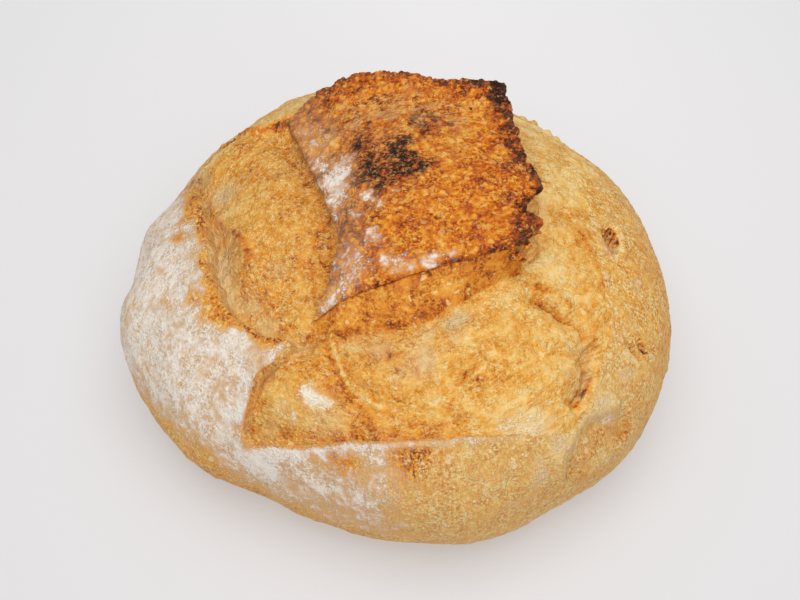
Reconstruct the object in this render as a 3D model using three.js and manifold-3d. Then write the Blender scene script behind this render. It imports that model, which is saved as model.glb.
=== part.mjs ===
// A round sourdough loaf, baked on a flat stone: one solid, in millimetres, +Z up.
// The crust was slashed in a square. It tore open into a ring of bloom, which is expanded dough, and the
// square in the middle lifted into a large ear. It is hinged at its left, and curls up at the back right.
// +X is the loaf's right, -Y its front. The origin is on the bench, under the middle of the bounding box.

import * as THREE from "three";
import { mergeVertices } from "three/addons/utils/BufferGeometryUtils.js";
import Module from "manifold-3d";

const manifold = await Module();
manifold.setup();

// ---- Driving sizes of the dome ----
const CROWN_HEIGHT = 98; // bench to the top of the dome, without the ear
const WAIST_HEIGHT = 41; // where the loaf is widest
const CROWN_POWER = 2.12; // 2 is an ellipse, more is a squarer shoulder
const FOOT_SHARE = 0.74; // radius of the flat foot, as a share of the waist's
const FOOT_TRIM = 2; // height that the bench has pressed flat
const FOOT_FADE = 12; // height over which the relief fades out towards the foot
// Radius of the waist every 22.5 degrees, anticlockwise from +X.
const WAIST_RADII = [114, 112, 108, 111, 119, 118, 112, 110, 112, 115, 109, 104, 112, 116, 116, 118];
const DOME_DETAIL = 17; // rows of triangles along each edge of the icosahedron that the dome starts from
const TOP_SHARE = 1.2; // over 1, the dome's triangles are smaller on top than under it

// ---- Where the crust tore open, in plan: x and y of the marks on the dome ----
// The lips are the torn edges of the outer crust, and end to end they bound the opening that the bloom fills.
// The crust rises towards a lip over its reach, and the bloom drops towards it over its run.
const LIPS = [
  { name: "left", rise: 1.8, reach: 9, drop: 4, run: 12,
    points: [[-86, 35], [-80, 12], [-78, -8], [-74, -27], [-67, -41], [-57, -54]] },
  { name: "front left", rise: 0.9, reach: 7, drop: 1.8, run: 9,
    points: [[-45, -64], [-52, -70], [-56, -79]] },
  { name: "front", rise: 0.3, reach: 8, drop: 0.8, run: 10,
    points: [[-61, -86], [-45, -90], [-14, -96], [14, -97], [40, -93]] },
  { name: "right", rise: -0.4, reach: 10, drop: -0.4, run: 10,
    points: [[68, -81], [78, -60], [81, -46], [85, -33], [85, 0], [88, 21], [86, 42]] },
  { name: "back", rise: 1, reach: 9, drop: 2.5, run: 12,
    points: [[74, 66], [45, 87], [10, 94], [-30, 90], [-64, 74]] },
];
const CRUST_STEP = 1.2; // the outer crust stands this far above the bloom, away from the lips too

// A fold is a valley where two bulges of dough met, and a ridge is a crest.
const FOLDS = [
  { name: "seam from the ear's tip", depth: 3, width: 5,
    points: [[-44, -62], [-36, -60], [-29, -56], [-24, -62], [-21, -73], [-12, -82], [4, -87]] },
  { name: "crease in the middle of the front", depth: 2, width: 5,
    points: [[22, -81], [29, -76], [37, -69]] },
  { name: "crevice to the right of the ear", depth: 2.5, width: 4,
    points: [[50, -37], [60, -43], [72, -49]] },
  { name: "torn end of the front bloom", depth: 3, width: 4.5, points: [[76, -49], [76, -67], [66, -80]] },
  { name: "hinge of the ear", depth: 3.5, width: 6,
    points: [[-51, 62], [-44, 40], [-37, 17], [-30, -6], [-28, -30], [-34, -50]] },
];
const RIDGES = [
  { name: "between the left and the back bloom", height: 3.5, width: 7,
    points: [[-86, 36], [-68, 51], [-53, 62], [-41, 67]] },
  { name: "torn strand beside the left lip", height: 2.5, width: 5,
    points: [[-80, 16], [-75, 6], [-68, -2], [-62, -15], [-56, -30]] },
];
// A bulge is a soft swelling, or a dent where its height is negative, about a point of the dome.
const BULGES = [
  { name: "front bloom, middle", at: [4, -70, 86], radius: 26, height: 4 },
  { name: "front bloom, right", at: [48, -64, 84], radius: 30, height: 4 },
  { name: "front bloom, left", at: [-36, -78, 78], radius: 20, height: 3 },
  { name: "left bloom", at: [-48, 18, 92], radius: 34, height: 3 },
  { name: "right bloom", at: [62, 20, 88], radius: 42, height: 4 },
  { name: "lump at the left of the waist", at: [-116, -16, 46], radius: 20, height: 4 },
  { name: "lump behind that one", at: [-104, 26, 58], radius: 14, height: 3 },
  { name: "notch between the two", at: [-112, 2, 60], radius: 9, height: -7 },
  { name: "front left, near the foot", at: [-86, -66, 17], radius: 16, height: 2.5 },
  { name: "dent to the right of that", at: [-60, -84, 13], radius: 14, height: -3 },
  { name: "front, near the foot", at: [-38, -90, 8], radius: 14, height: 2 },
  { name: "shoulder at the front right", at: [96, -68, 32], radius: 22, height: 4 },
  { name: "dent above that shoulder", at: [82, -86, 56], radius: 12, height: -4 },
  { name: "flat at the right of the waist", at: [116, -38, 44], radius: 12, height: -1.5 },
];

// ---- The ear: the edges of its crust plate, and how it is raised ----
const EAR_FRONT = [
  [-32, -51, 90], [-20, -46, 97], [-6, -43, 102], [13, -39, 107], [33, -34, 110], [51, -27, 111],
];
const EAR_RIGHT = [
  [51, -27, 111], [57, -18, 111], [51, -10, 110], [58, 3, 111], [51, 18, 112], [48, 36, 113], [45, 56, 116],
];
const EAR_BACK = [
  [-47, 60, 89], [-37, 69, 93], [-20, 74, 100], [2, 69, 107], [22, 60, 111], [45, 56, 116],
];
const EAR_LEFT = [
  [-32, -51, 90], [-25, -33, 97], [-23, -18, 101], [-27, -2, 101], [-35, 24, 97], [-47, 60, 89],
];
// The wall of dough under the front edge leans out to this line.
const WALL_FOOT = [
  [-32, -53, 0], [-23, -58, 0], [-8, -59, 0], [8, -58, 0], [22, -50, 0], [34, -40, 0], [46, -32, 0],
];
const PLATE_THICKNESS = 4; // crust plate of the ear
const PLATE_CROWN = 5; // how far the plate's middle stands above a sheet stretched over its edges
const PLATE_CELLS = 20; // mesh cells along each side of the plate
const CORE_INSET = 0.06; // the plate overhangs the dough under it by this share at the right and the back
const CORE_FLARE = 0.1; // and that dough spreads again by this share where it joins the dome
const CORE_DEPTH = 24; // how far it reaches down into the dome
const CORE_CELLS = 12;

const CRUST_COLOUR = 0xc98b45;

// ---- The dome ----

/** Radius of the waist towards an angle: a closed Catmull-Rom curve through WAIST_RADII. */
function waistRadius(angle) {
  const count = WAIST_RADII.length;
  const turn = ((angle / (2 * Math.PI)) % 1 + 1) % 1;
  const at = Math.floor(turn * count);
  const t = turn * count - at;
  const [a, b, c, d] = [-1, 0, 1, 2].map((k) => WAIST_RADII[(at + k + count) % count]);
  return 0.5 * (2 * b + (c - a) * t + (2 * a - 5 * b + 4 * c - d) * t * t + (3 * b - a - 3 * c + d) * t ** 3);
}

/** Section of the dome as [radius share, height]: share 0 is the top, 1 the middle of the foot. */
function sectionOutline() {
  const steps = 60;
  const outline = [];
  for (let i = 0; i <= steps; i++) {
    const angle = (i / steps) * (Math.PI / 2);
    const rise = (CROWN_HEIGHT - WAIST_HEIGHT) * Math.cos(angle) ** (2 / CROWN_POWER);
    outline.push([Math.sin(angle) ** (2 / CROWN_POWER), WAIST_HEIGHT + rise]);
  }
  for (let i = 1; i <= steps; i++) {
    const angle = (i / steps) * (Math.PI / 2);
    const radius = FOOT_SHARE + (1 - FOOT_SHARE) * Math.cos(angle);
    outline.push([radius, WAIST_HEIGHT - (WAIST_HEIGHT + FOOT_TRIM) * Math.sin(angle)]);
  }
  outline.push([0, -FOOT_TRIM]);
  return outline;
}

const SECTION = sectionOutline();
const MEAN_RADIUS = WAIST_RADII.reduce((sum, r) => sum + r, 0) / WAIST_RADII.length;
const SECTION_LENGTHS = [0];
for (let i = 1; i < SECTION.length; i++) {
  const [from, to] = [SECTION[i - 1], SECTION[i]];
  const step = Math.hypot((to[0] - from[0]) * MEAN_RADIUS, to[1] - from[1]);
  SECTION_LENGTHS.push(SECTION_LENGTHS[i - 1] + step);
}

/** Point and outward normal of the section at a share of its length, in radius share and height. */
function sectionAt(share) {
  const length = share * SECTION_LENGTHS.at(-1);
  const i = Math.max(1, SECTION_LENGTHS.findIndex((l) => l >= length - 1e-9));
  const t = (length - SECTION_LENGTHS[i - 1]) / (SECTION_LENGTHS[i] - SECTION_LENGTHS[i - 1]);
  const [from, to] = [SECTION[i - 1], SECTION[i]];
  const along = new THREE.Vector2((to[0] - from[0]) * MEAN_RADIUS, to[1] - from[1]).normalize();
  return {
    radius: from[0] + (to[0] - from[0]) * t,
    height: from[1] + (to[1] - from[1]) * t,
    outward: -along.y,
    upward: along.x,
  };
}

// ---- Relief on the dome ----

const bell = (distance, width) => Math.exp(-((distance / width) ** 2));
const smoothstep = (low, high, x) => THREE.MathUtils.smoothstep(x, low, high);

/** A mark with its plan points as a dense polyline along a smooth curve. */
function trace(mark) {
  const curve = new THREE.SplineCurve(mark.points.map(([x, y]) => new THREE.Vector2(x, y)));
  return { ...mark, line: curve.getPoints(30) };
}

/** Distance in plan from a point to a traced mark, and a weight that fades out at the mark's two ends. */
function measure(mark, x, y) {
  let [distance, along] = [Infinity, 0];
  const { line } = mark;
  for (let i = 1; i < line.length; i++) {
    const [p, q] = [line[i - 1], line[i]];
    const [dx, dy] = [q.x - p.x, q.y - p.y];
    const t = THREE.MathUtils.clamp(((x - p.x) * dx + (y - p.y) * dy) / (dx * dx + dy * dy), 0, 1);
    const gap = Math.hypot(x - p.x - dx * t, y - p.y - dy * t);
    if (gap < distance) [distance, along] = [gap, (i - 1 + t) / (line.length - 1)];
  }
  return { distance, ends: smoothstep(0, 0.15, along) * smoothstep(0, 0.15, 1 - along) };
}

// Each lip runs on to the first point of the next one.
const lips = LIPS.map((lip, i) => {
  const next = LIPS[(i + 1) % LIPS.length];
  return trace({ ...lip, points: [...lip.points, next.points[0]] });
});
const folds = FOLDS.map(trace);
const ridges = RIDGES.map(trace);

/** What the lips do to a plan point, blended where two of them meet. */
function lipEffect(x, y, amount, width) {
  let [effect, total] = [0, 1e-9];
  for (const lip of lips) {
    const near = bell(measure(lip, x, y).distance, lip[width]);
    effect += lip[amount] * near ** 2;
    total += near;
  }
  return effect / total;
}

/** Slow unevenness of hand-shaped dough. */
function dough(x, y, z) {
  return (
    0.9 * Math.sin(x / 17 + 1.3) * Math.cos(y / 21 + 0.4) +
    0.7 * Math.sin((x + y) / 13 + z / 19) +
    0.6 * Math.cos((y - x) / 11 - z / 14 + 2.1)
  );
}

/** Swellings and unevenness that the outer crust and the bloom share. */
function swelling(x, y, z) {
  const bulges = BULGES.reduce(
    (sum, b) => sum + b.height * bell(Math.hypot(x - b.at[0], y - b.at[1], z - b.at[2]), b.radius), 0);
  return dough(x, y, z) + bulges;
}

/** Relief of the outer crust along its normal: it curls up at its lips. */
const crustRelief = (x, y, z) => swelling(x, y, z) + CRUST_STEP / 2 + lipEffect(x, y, "rise", "reach");

/** Relief of the bloom: it starts low at the lips, and has folds and ridges of its own. */
function bloomRelief(x, y, z) {
  let height = swelling(x, y, z) - CRUST_STEP / 2 - lipEffect(x, y, "drop", "run");
  for (const fold of folds) {
    const { distance, ends } = measure(fold, x, y);
    height -= fold.depth * bell(distance, fold.width) * ends;
  }
  for (const ridge of ridges) {
    const { distance, ends } = measure(ridge, x, y);
    height += ridge.height * bell(distance, ridge.width) * ends;
  }
  return height;
}

// ---- Solids ----

/** A closed geometry with shared vertices, each moved by a function from its old place to its new one. */
function moved(geometry, place) {
  geometry.deleteAttribute("normal");
  geometry.deleteAttribute("uv");
  const merged = mergeVertices(geometry, 1e-4);
  const position = merged.getAttribute("position");
  const at = new THREE.Vector3();
  for (let i = 0; i < position.count; i++) {
    at.fromBufferAttribute(position, i);
    position.setXYZ(i, ...place(at).toArray());
  }
  return merged;
}

/** A closed geometry as a manifold solid, facing out. */
function solidOf(geometry) {
  const triVerts = new Uint32Array(geometry.index.array);
  const vertProperties = new Float32Array(geometry.getAttribute("position").array);
  const solid = new manifold.Manifold(new manifold.Mesh({ numProp: 3, vertProperties, triVerts }));
  if (solid.volume() > 0) return solid;
  triVerts.reverse(); // turns every triangle over
  return new manifold.Manifold(new manifold.Mesh({ numProp: 3, vertProperties, triVerts }));
}

/** The dome with a relief on it, from an icosphere whose poles become the crown and the foot. */
function domeGeometry(relief) {
  return moved(new THREE.IcosahedronGeometry(1, DOME_DETAIL), (p) => {
    const angle = Math.atan2(p.y, p.x);
    const section = sectionAt((Math.acos(THREE.MathUtils.clamp(p.z, -1, 1)) / Math.PI) ** TOP_SHARE);
    const radius = section.radius * waistRadius(angle);
    const [x, y, z] = [radius * Math.cos(angle), radius * Math.sin(angle), section.height];
    const height = relief(x, y, z) * smoothstep(0, FOOT_FADE, z);
    return new THREE.Vector3(
      x + height * section.outward * Math.cos(angle),
      y + height * section.outward * Math.sin(angle),
      z + height * section.upward,
    );
  });
}

/** A prism through the opening in the outer crust, from inside the loaf to well above it. */
function openingGeometry() {
  const corners = LIPS.flatMap((lip) => lip.points).map(([x, y]) => new THREE.Vector3(x, y, 0));
  const outline = new THREE.CatmullRomCurve3(corners, true, "centripetal").getPoints(110).slice(0, -1);
  const shape = new THREE.Shape(outline.map((p) => new THREE.Vector2(p.x, p.y)));
  const prism = new THREE.ExtrudeGeometry(shape, { depth: 2 * CROWN_HEIGHT, bevelEnabled: false });
  return moved(prism, (p) => p.clone().setZ(p.z + WAIST_HEIGHT));
}

const edge = (points) => new THREE.CatmullRomCurve3(points.map((p) => new THREE.Vector3(...p)));
const [front, right, back, left] = [EAR_FRONT, EAR_RIGHT, EAR_BACK, EAR_LEFT].map(edge);
const wallFoot = edge(WALL_FOOT);

/** The sheet stretched over the ear's four edges, crowned in the middle: u runs right, v back. */
function earSheet(u, v) {
  const at = (curve, t) => curve.getPoint(THREE.MathUtils.clamp(t, 0, 1));
  const across = at(front, u).lerp(at(back, u), v);
  const along = at(left, v).lerp(at(right, v), u);
  const corners = at(front, 0).lerp(at(front, 1), u).lerp(at(back, 0).lerp(at(back, 1), u), v);
  const sheet = across.add(along).sub(corners);
  sheet.z += PLATE_CROWN * 16 * u * (1 - u) * v * (1 - v);
  return sheet;
}

/** The ear's crust plate: a box whose top is the sheet. */
function plateGeometry() {
  const box = new THREE.BoxGeometry(1, 1, 1, PLATE_CELLS, PLATE_CELLS, 1);
  return moved(box, (p) => {
    const sheet = earSheet(p.x + 0.5, p.y + 0.5);
    return p.z > 0 ? sheet : sheet.setZ(sheet.z - PLATE_THICKNESS);
  });
}

/** The dough under the plate: its front slopes down to the bloom, and the plate overhangs the rest. */
function coreGeometry() {
  const box = new THREE.BoxGeometry(1, 1, 1, CORE_CELLS, CORE_CELLS, 4);
  return moved(box, (p) => {
    const [s, t, depth] = [p.x + 0.5, p.y + 0.5, 0.5 - p.z];
    const reach = 1 - CORE_INSET + CORE_FLARE * depth;
    const top = earSheet(s * reach, t * reach);
    const lean = Math.min(1, depth * 1.6) * (1 - t) ** 2; // of the front, out to the foot of the wall
    const [from, foot] = [front.getPoint(s * reach), wallFoot.getPoint(s * reach)];
    return new THREE.Vector3(
      top.x + (foot.x - from.x) * lean,
      top.y + (foot.y - from.y) * lean,
      top.z - PLATE_THICKNESS / 2 - CORE_DEPTH * depth,
    );
  });
}

/** Everything above the bench, as a box well larger than the loaf. */
function aboveBench() {
  const size = 4 * CROWN_HEIGHT;
  return moved(new THREE.BoxGeometry(size, size, size), (p) => p.clone().setZ(p.z + size / 2));
}

/** The whole loaf: outer crust, bloom, core and plate joined, and cut flat at the bench. */
function loafGeometry() {
  const crust = solidOf(domeGeometry(crustRelief)).subtract(solidOf(openingGeometry()));
  const joined = [domeGeometry(bloomRelief), coreGeometry(), plateGeometry()].reduce(
    (sum, geometry) => sum.add(solidOf(geometry)), crust);
  const mesh = joined.intersect(solidOf(aboveBench())).getMesh();
  const geometry = new THREE.BufferGeometry();
  geometry.setAttribute("position", new THREE.BufferAttribute(new Float32Array(mesh.vertProperties), 3));
  geometry.setIndex(new THREE.BufferAttribute(new Uint32Array(mesh.triVerts), 1));
  return geometry;
}

const loaf = new THREE.Mesh(
  loafGeometry(),
  new THREE.MeshStandardMaterial({ color: CRUST_COLOUR, roughness: 0.85, metalness: 0 }),
);
loaf.name = "loaf";
loaf.geometry.computeBoundingBox();
const middle = loaf.geometry.boundingBox.getCenter(new THREE.Vector3());
loaf.position.set(-middle.x, -middle.y, 0);

const group = new THREE.Group();
group.add(loaf);

export default group;
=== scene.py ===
"""A round sourdough loaf, dressed: its outer crust, its bloom, its raised ear and the dough under it.

Shapes are worked out in millimetres, in the dome's own axes: the bench is z = 0, the dome's axis is
x = y = 0, +X is the loaf's right and -Y its front. Piece.build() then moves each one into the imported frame,
in metres.
"""

import logging
import math
from dataclasses import dataclass, field
from enum import Enum
from functools import reduce
from typing import Sequence

import bmesh
import bpy
import numpy as np
from mathutils import Matrix, Vector


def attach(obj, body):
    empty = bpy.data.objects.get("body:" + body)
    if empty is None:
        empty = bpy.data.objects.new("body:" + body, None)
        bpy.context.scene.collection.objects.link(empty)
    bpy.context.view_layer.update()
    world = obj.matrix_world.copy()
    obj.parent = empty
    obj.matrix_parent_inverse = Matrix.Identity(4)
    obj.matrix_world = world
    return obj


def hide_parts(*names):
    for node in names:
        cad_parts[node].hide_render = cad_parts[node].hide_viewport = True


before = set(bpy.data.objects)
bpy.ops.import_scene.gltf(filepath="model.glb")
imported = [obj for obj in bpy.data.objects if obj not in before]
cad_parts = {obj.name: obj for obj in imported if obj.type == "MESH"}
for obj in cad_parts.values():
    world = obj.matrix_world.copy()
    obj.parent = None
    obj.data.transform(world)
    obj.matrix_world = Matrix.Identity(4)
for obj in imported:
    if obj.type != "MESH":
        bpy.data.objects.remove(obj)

log = logging.getLogger("loaf")

Array = np.ndarray
Points = Sequence[Sequence[float]]

METRE = 0.001  # a millimetre in Blender's unit
SECTION_LENGTH = 260.0  # from the crown over the side to the middle of the foot, about, mm
DOME_PLACE = (0.158, -2.465, 0.0)  # the dome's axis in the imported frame, mm
NODE = "loaf"


# ---- Small helpers -------------------------------------------------------------------------------


def smoothstep(low: float, high: float, x: Array) -> Array:
    """Rise smoothly from 0 at low to 1 at high; where low is above high, it falls."""
    t = np.clip((x - low) / (high - low), 0.0, 1.0)
    return t * t * (3.0 - 2.0 * t)


def bell(x: Array, width: float) -> Array:
    """A soft bump, 1 where x is 0."""
    return np.exp(-np.square(x / width))


def band(low: float, full: float, until: float, high: float, x: Array) -> Array:
    """Rise smoothly from 0 at low to 1 at full, and fall from 1 at until to 0 at high."""
    return smoothstep(low, full, x) * smoothstep(high, until, x)


def tapered(along: Array, share: float) -> Array:
    """1 along a line, falling to 0 over a share of it at either end."""
    return smoothstep(0, share, along) * smoothstep(0, share, 1 - along)


def spot(p: Array, middle: Sequence[float], width: float) -> Array:
    """A soft round spot in plan, 1 at its middle."""
    return bell(np.hypot(p[:, 0] - middle[0], p[:, 1] - middle[1]), width)


def on_drum(p: Array, radius: float, length: Array) -> Array:
    """Points laid out on a drum round the dome's axis, by their direction and a length along it."""
    angle = np.arctan2(p[:, 1], p[:, 0])
    return np.stack([radius * np.cos(angle), radius * np.sin(angle), length], axis=1)


def smooth_curve(points: Points, steps: int, closed: bool = False) -> Array:
    """Draw a centripetal Catmull-Rom curve through points.

    Args:
        points: the points in two or three dimensions.
        steps: samples in each stretch between two points.
        closed: whether the curve comes back to its start.

    Returns:
        The samples, one row each.
    """
    p = np.asarray(points, dtype=float)
    if closed:
        chain = np.vstack([p[-1:], p, p[:2]])
    else:
        chain = np.vstack([2 * p[0] - p[1], p, 2 * p[-1] - p[-2]])
    t = np.linspace(0.0, 1.0, steps, endpoint=False)[:, None]
    runs = []
    for p0, p1, p2, p3 in zip(chain, chain[1:], chain[2:], chain[3:]):
        pairs = ((p0, p1), (p1, p2), (p2, p3))
        d0, d1, d2 = (max(float(np.sum((b - a) ** 2)) ** 0.25, 1e-4) for a, b in pairs)
        leave = ((p1 - p0) / d0 - (p2 - p0) / (d0 + d1) + (p2 - p1) / d1) * d1
        reach = ((p2 - p1) / d1 - (p3 - p1) / (d1 + d2) + (p3 - p2) / d2) * d1
        square = 3 * (p2 - p1) - 2 * leave - reach
        cube = 2 * (p1 - p2) + leave + reach
        runs.append(p1 + leave * t + square * t**2 + cube * t**3)
    if not closed:
        runs.append(p[-1:])
    return np.vstack(runs)


class Noise:
    """Seeded gradient noise and cells in three dimensions."""

    def __init__(self, seed: int) -> None:
        """Draw the tables.

        Args:
            seed: the seed of every draw.
        """
        rng = np.random.default_rng(seed)
        self.order = rng.permutation(256)
        directions = rng.normal(size=(256, 3))
        self.gradients = directions / np.linalg.norm(directions, axis=1, keepdims=True)
        self.spots = rng.uniform(0.0, 1.0, size=(256, 3))
        self.draws = rng.uniform(0.0, 1.0, size=256)

    def _pick(self, cell: Array) -> Array:
        """Table index of each lattice cell."""
        x, y, z = (cell[:, k] & 255 for k in range(3))
        return self.order[(self.order[(self.order[x] + y) & 255] + z) & 255]

    def at(self, points: Array, size: float) -> Array:
        """Smooth noise from about -1 to 1.

        Args:
            points: where to read it, in mm.
            size: width of its features, in mm.

        Returns:
            One value for each point.
        """
        p = np.asarray(points) / size
        base = np.floor(p).astype(int)
        f = p - base
        ease = f * f * f * (f * (f * 6 - 15) + 10)
        total = np.zeros(len(p))
        for corner in np.ndindex(2, 2, 2):
            offset = np.array(corner)
            pull = np.einsum("ij,ij->i", self.gradients[self._pick(base + offset)], f - offset)
            weight = np.prod(np.where(offset, ease, 1.0 - ease), axis=1)
            total += weight * pull
        return total * 1.6

    def layers(self, points: Array, size: float, count: int = 3, fall: float = 0.5) -> Array:
        """Noise of several sizes, each half as wide as the one before and lower by the fall."""
        return sum(self.at(np.asarray(points) + 37.0 * k, size / 2**k) * fall**k for k in range(count))

    def strands(self, points: Array, size: float) -> Array:
        """Thin crests that run between wider hollows, from 0 in a hollow to 1 on a crest."""
        return np.square(1.0 - np.clip(np.abs(self.at(points, size)) * 2.2, 0.0, 1.0))

    def cells(self, points: Array, size: float) -> tuple[Array, Array]:
        """Scattered spots, one in each cube of the given size.

        Args:
            points: where to read it, in mm.
            size: side of the cubes, in mm.

        Returns:
            The distance to the nearest spot as a share of the size, and the spot's own draw from 0 to 1.
        """
        p = np.asarray(points) / size
        base = np.floor(p).astype(int)
        nearest = np.full(len(p), 9.0)
        draw = np.zeros(len(p))
        for offset in np.ndindex(3, 3, 3):
            cell = base + np.array(offset) - 1
            pick = self._pick(cell)
            gap = np.linalg.norm(p - cell - self.spots[pick], axis=1)
            closer = gap < nearest
            nearest = np.where(closer, gap, nearest)
            draw = np.where(closer, self.draws[pick], draw)
        return nearest, draw

    def warp(self, points: Array, size: float, reach: float) -> Array:
        """Points pushed about by noise, so that a pattern read there has wandering edges."""
        push = [self.at(points + shift, size) for shift in (0.0, 71.3, 143.7)]
        return points + reach * np.stack(push, axis=1)


class Trail:
    """A line in plan, and how far points are from it."""

    def __init__(self, points: Points, closed: bool = False, steps: int = 8) -> None:
        """Draw the line.

        Args:
            points: plan points that it passes through, in mm.
            closed: whether it comes back to its start.
            steps: samples between two points.
        """
        line = smooth_curve(points, steps, closed)
        self.line = np.vstack([line, line[:1]]) if closed else line
        self.closed = closed

    def measure(self, xy: Array, reach: float = 1e9) -> tuple[Array, Array, Array]:
        """Measure points against the line.

        Args:
            xy: plan points, one row each.
            reach: points further off than this may be left at that distance.

        Returns:
            Distance, place along the line from 0 to 1, and nearest point on it, for each point.
        """
        low, high = self.line.min(axis=0) - reach, self.line.max(axis=0) + reach
        near = np.flatnonzero(np.all((xy > low) & (xy < high), axis=1))
        best = np.full(len(near), np.inf)
        along = np.zeros(len(near))
        spot = np.zeros((len(near), 2))
        q = xy[near]
        count = len(self.line) - 1
        for i, (a, b) in enumerate(zip(self.line, self.line[1:])):
            d = b - a
            t = np.clip(((q - a) @ d) / max(float(d @ d), 1e-9), 0.0, 1.0)
            foot = a + t[:, None] * d
            gap = np.linalg.norm(q - foot, axis=1)
            closer = gap < best
            best = np.where(closer, gap, best)
            along = np.where(closer, (i + t) / count, along)
            spot = np.where(closer[:, None], foot, spot)
        distance = np.full(len(xy), reach)
        share = np.zeros(len(xy))
        nearest = np.array(xy[:, :2], dtype=float)
        distance[near], share[near], nearest[near] = best, along, spot
        return distance, share, nearest

    def inside(self, xy: Array) -> Array:
        """Whether each plan point lies within the closed line.

        Args:
            xy: plan points.

        Returns:
            True for each point within it.
        """
        crossings = np.zeros(len(xy), dtype=int)
        for a, b in zip(self.line, self.line[1:]):
            spans = (a[1] > xy[:, 1]) != (b[1] > xy[:, 1])
            rise = b[1] - a[1]
            cut = a[0] + (xy[:, 1] - a[1]) * (b[0] - a[0]) / (rise if abs(rise) > 1e-9 else 1e-9)
            crossings += spans & (xy[:, 0] < cut)
        return crossings % 2 == 1


# ---- Form of the loaf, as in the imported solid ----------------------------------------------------


@dataclass(frozen=True)
class Lip:
    """A torn edge of the outer crust.

    The crust rises towards it over its reach and the bloom drops towards it over its run.
    """

    points: Points
    rise: float
    reach: float
    drop: float
    run: float
    ragged: float
    browned: float


@dataclass(frozen=True)
class Mark:
    """A fold, where height is negative, or a ridge, along a line in plan."""

    points: Points
    height: float
    width: float
    # browned: what the mark adds to the bake, real browning or paleness, except where a table notes painted
    # shade or a painted highlight
    browned: float = 0.0


@dataclass(frozen=True)
class Bulge:
    """A soft swelling, or a dent where height is negative, about a point of the dome."""

    at: tuple[float, float, float]
    radius: float
    height: float


@dataclass(frozen=True)
class Patch:
    """A spot of colour or flour about a point, with how much it adds at its middle."""

    at: tuple[float, float, float]
    radius: float
    amount: float


def patch_rows(*rows: tuple[float, float, float, float, float]) -> tuple[Patch, ...]:
    """Patches from rows of x, y, z, radius and amount."""
    return tuple(Patch(row[:3], *row[3:]) for row in rows)


LIPS = (
    Lip(((-86, 35), (-80, 12), (-78, -8), (-74, -27), (-66, -43), (-56, -53)), 1.8, 9, 4.0, 12, 0.8, 0.5),
    Lip(((-48, -57), (-41, -60), (-46, -66), (-53, -70), (-57, -78)), 0.9, 7, 2.8, 9, 0.3, 0.8),
    Lip(((-60, -84), (-45, -90), (-14, -96), (14, -97)), 0.3, 8, 0.8, 10, 0.4, 0.1),
    Lip(((38, -94), (57, -90)), -0.5, 9, -0.5, 9, 0.3, 0.0),
    Lip(
        ((71, -83), (82, -61), (85, -46), (84, -33), (79, -4), (81, 20), (84, 42)),
        -0.6, 10, -0.6, 10, 0.6, 0.0,
    ),
    Lip(((74, 66), (45, 87), (10, 94), (-30, 92), (-70, 76), (-84, 57)), -0.6, 10, -0.6, 10, 0.6, 0.0),
)
CRUST_STEP = 1.2

FOLDS = (
    Mark(((-44, -62), (-36, -60), (-29, -56), (-24, -62), (-21, -73), (-12, -82), (4, -87)), -3.0, 5, 0.06),
    Mark(((22, -81), (29, -76), (37, -69)), -2.0, 5, 0.04),
    Mark(((50, -37), (60, -43), (72, -49)), -2.5, 4),
    Mark(((76, -49), (76, -67), (66, -80)), -3.0, 4.5),
    Mark(((-51, 62), (-44, 40), (-37, 17), (-30, -6), (-28, -30), (-34, -50)), -3.5, 6, 0.10),
)
RIDGES = (
    Mark(((-86, 36), (-68, 51), (-53, 62), (-41, 67)), 3.5, 7, 0.04),
    Mark(((-77, 16), (-73, 6), (-67, -2), (-61, -15), (-56, -30)), 1.6, 5, 0.0),
)
BULGES = (
    Bulge((4, -70, 86), 26, 4),
    Bulge((48, -64, 84), 30, 4),
    Bulge((-36, -78, 78), 20, 3),
    Bulge((-48, 18, 92), 34, 3),
    Bulge((62, 20, 88), 42, 4),
    Bulge((-116, -16, 46), 20, 4),
    Bulge((-104, 26, 58), 14, 3),
    Bulge((-112, 2, 60), 9, -7),
    Bulge((-86, -66, 17), 16, 2.5),
    Bulge((-60, -84, 13), 14, -3),
    Bulge((-38, -90, 8), 14, 2),
    Bulge((96, -68, 32), 22, 4),
    Bulge((82, -86, 56), 12, -4),
    Bulge((116, -38, 44), 12, -1.5),
)


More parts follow.
